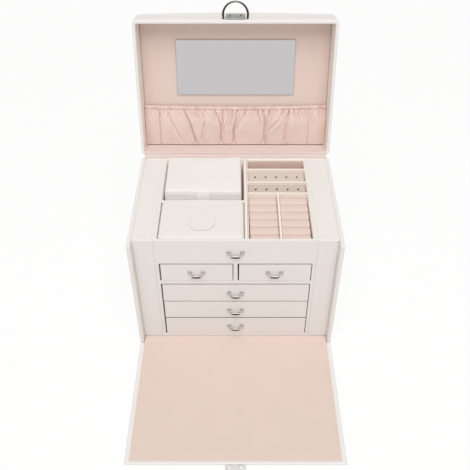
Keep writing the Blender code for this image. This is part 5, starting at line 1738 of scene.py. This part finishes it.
def heads_tree():
    """Tree that sets a domed head on each point, along its facing and turned at random."""
    sockets = {"Radius": "Float", "Height": "Float", "Seed": "Int", "Finish": "Material"}
    graph, identifiers, given = new_tree("domed_heads", sockets)
    points, radius, height, seed, finish = given
    ball = graph.node("GeometryNodeMeshUVSphere", {"Segments": 20, "Rings": 10, "Radius": 1.0})
    size = graph.node("ShaderNodeCombineXYZ", {"X": radius, "Y": radius, "Z": height})
    dome = graph.node("GeometryNodeTransform", {"Geometry": ball, "Scale": size})
    slot = graph.node("GeometryNodeMeshCube", {"Size": (1.0, 1.0, 1.0)})
    slot_size = graph.node("ShaderNodeCombineXYZ", {"X": radius * 1.5, "Y": radius * 0.2, "Z": height})
    slot_place = graph.node("ShaderNodeCombineXYZ", {"Z": height * 1.05})
    cutter = graph.node("GeometryNodeTransform",
                        {"Geometry": slot, "Scale": slot_size, "Translation": slot_place})
    head = graph.node("GeometryNodeMeshBoolean", {"Mesh 1": dome, "Mesh 2": cutter},
                      operation="DIFFERENCE")
    facing = graph.node("GeometryNodeInputNamedAttribute", {"Name": "facing"}, data_type="FLOAT_VECTOR")
    turned = graph.node("FunctionNodeAlignRotationToVector", {"Vector": facing}, axis="Z")
    limits = {2: 0.0, 3: math.pi, "Seed": seed}
    angle = graph.node("FunctionNodeRandomValue", limits, 1, data_type="FLOAT")
    twist = graph.node("FunctionNodeAxisAngleToRotation", {"Axis": (0, 0, 1), "Angle": angle})
    rotation = graph.node("FunctionNodeRotateRotation", {"Rotation": turned, "Rotate By": twist},
                          rotation_space="LOCAL")
    end_tree(graph, points, head, rotation, finish)
    return graph.tree, identifiers


def stitches_tree():
    """Tree that lays stitches end to end along each line of a mesh."""
    sockets = {"Pitch": "Float", "Length": "Float", "Width": "Float", "Finish": "Material"}
    graph, identifiers, given = new_tree("stitches", sockets)
    lines, pitch, length, width, finish = given
    curve = graph.node("GeometryNodeMeshToCurve", {"Mesh": lines})
    spaced = graph.node("GeometryNodeResampleCurve", {"Curve": curve, "Length": pitch}, mode="LENGTH")
    tangent = graph.node("GeometryNodeInputTangent")
    turned = graph.node("FunctionNodeAlignRotationToVector", {"Vector": tangent}, axis="X")
    ball = graph.node("GeometryNodeMeshUVSphere", {"Segments": 6, "Rings": 5, "Radius": 0.5})
    upright = graph.node("GeometryNodeTransform", {"Geometry": ball, "Rotation": (0, math.pi / 2, 0)})
    size = graph.node("ShaderNodeCombineXYZ", {"X": length, "Y": width, "Z": width})
    stitch = graph.node("GeometryNodeTransform", {"Geometry": upright, "Scale": size})
    end_tree(graph, spaced, stitch, turned, finish)
    return graph.tree, identifiers


HEADS = heads_tree()
STITCHES = stitches_tree()


def grown(name, data, tree, values, body, finish):
    """A piece that a geometry tree grows on a base mesh, as a plain mesh."""
    group, identifiers = tree
    base = new_object(name + "_base", data)
    modifier = base.modifiers.new("grow", "NODES")
    modifier.node_group = group
    for label, value in {**values, "Finish": FINISHES[finish]}.items():
        modifier[identifiers[label]] = value
    made = evaluated_mesh(base)
    made.name = name
    bpy.data.objects.remove(base)
    return settle(new_object(name, made), body, finish)


def scatter_heads(name, heads, body, shut):
    """Screw or rivet heads at points, each along its own facing, as one piece."""
    turn = OPEN if shut else Matrix()
    data = bpy.data.meshes.new(name + "_points")
    data.from_pydata([turn @ place for place, facing in heads], [], [])
    stored = data.attributes.new("facing", "FLOAT_VECTOR", "POINT")
    for i, (place, facing) in enumerate(heads):
        stored.data[i].vector = turn.to_3x3() @ facing
    values = {"Radius": SCREW_RADIUS, "Height": SCREW_HEIGHT, "Seed": 7}
    grown(name, data, HEADS, values, body, "nickel")


def stitch_line(name, points, body):
    """Stitches along a line of points, as one piece."""
    data = bpy.data.meshes.new(name + "_line")
    data.from_pydata(points, [(i, i + 1) for i in range(len(points) - 1)], [])
    values = {"Pitch": STITCH_PITCH, "Length": STITCH_LENGTH, "Width": STITCH_WIDTH}
    grown(name, data, STITCHES, values, body, "thread")


def build_stitching():
    """Stitches on the travel case's strap and the cover's pull tab."""
    inset = Vector((1, 1, 1)) * STITCH_INSET
    low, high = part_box("travel_case_strap")
    y = high.y - STRAP_THICKNESS
    low, high = low + inset, high - inset
    corners = ((low.x, high.z), (low.x, low.z), (high.x, low.z), (high.x, high.z))
    stitch_line("strap_stitches", [(x, strap_place(y, z), z) for x, z in corners], "travel_case_lid")

    low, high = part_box("cover_pull_tab")
    z = high.z
    low, high = low + inset, high - inset
    cut = TAB_CUT
    corners = ((low.x, high.y), (low.x, low.y + cut), (low.x + cut, low.y),
               (high.x - cut, low.y), (high.x, low.y + cut), (high.x, high.y))
    stitch_line("tab_stitches", [(x, y, z) for x, y in corners], "cover")


def finish_nodes():
    """Give every node that stays in sight its procedural finish."""
    kinds = {part["node"]: part["material_slot"] for part in frame["record"]["subparts"]}
    for name, node in NODES.items():
        node.data.materials.clear()
        node.data.materials.append(FINISHES[kinds[name]])


def build_stage():
    """Pale floor, even sky, one large soft lamp and the camera."""
    data = bpy.data.meshes.new("floor")
    half = FLOOR_HALF
    sides = ((-half, -half), (half, -half), (half, half), (-half, half))
    corners = [(x, y, -FLOOR_DROP) for x, y in sides]
    data.from_pydata(corners, [], [(0, 1, 2, 3)])
    data.materials.append(floor_finish())
    new_object("floor", data)

    world = bpy.data.worlds.new("sky")
    world.use_nodes = True
    world.node_tree.nodes.clear()
    graph = Graph(world.node_tree)
    seen, mirrored, through = graph.outputs("ShaderNodeLightPath", RAYS)
    seen = (seen + mirrored + through).at_most(1)
    tint = graph.blend(seen, SKY_WARM, (1, 1, 1))
    strength = SKY_LIGHT + seen * (1 - SKY_LIGHT)
    sky = graph.node("ShaderNodeBackground", {"Color": tint, "Strength": strength})
    graph.node("ShaderNodeOutputWorld", {"Surface": sky})
    bpy.context.scene.world = world

    light = bpy.data.lights.new("key", "AREA")
    light.size = KEY_SIZE
    light.energy = KEY_POWER
    lamp = new_object("key", light)
    lamp.location = KEY_PLACE
    lamp.rotation_euler = (KEY_AIM - lamp.location).to_track_quat("-Z", "Y").to_euler()

    camera = bpy.data.cameras.new("camera")
    camera.sensor_width = SENSOR
    camera.lens = FOCAL_PIXELS / FRAME_PIXELS * SENSOR
    camera.shift_x = CAMERA_SHIFT
    eye = new_object("camera", camera)
    eye.location = CAMERA_PLACE
    eye.rotation_euler = (math.radians(CAMERA_TILT), 0, 0)
    bpy.context.scene.camera = eye
    bpy.context.scene.view_settings.view_transform = "Standard"


def build():
    """The whole dressed box."""
    finish_nodes()
    build_boards()
    build_lid_shell()
    build_pocket()
    build_hinge_cloth()
    build_flap_velvet()
    build_box_linings()
    build_ring_rolls()
    build_earring_pads()
    build_cover()
    build_travel_base()
    build_travel_lid()
    build_pulls()
    build_hinges()
    build_keeper()
    build_stitching()
    build_stage()


build()
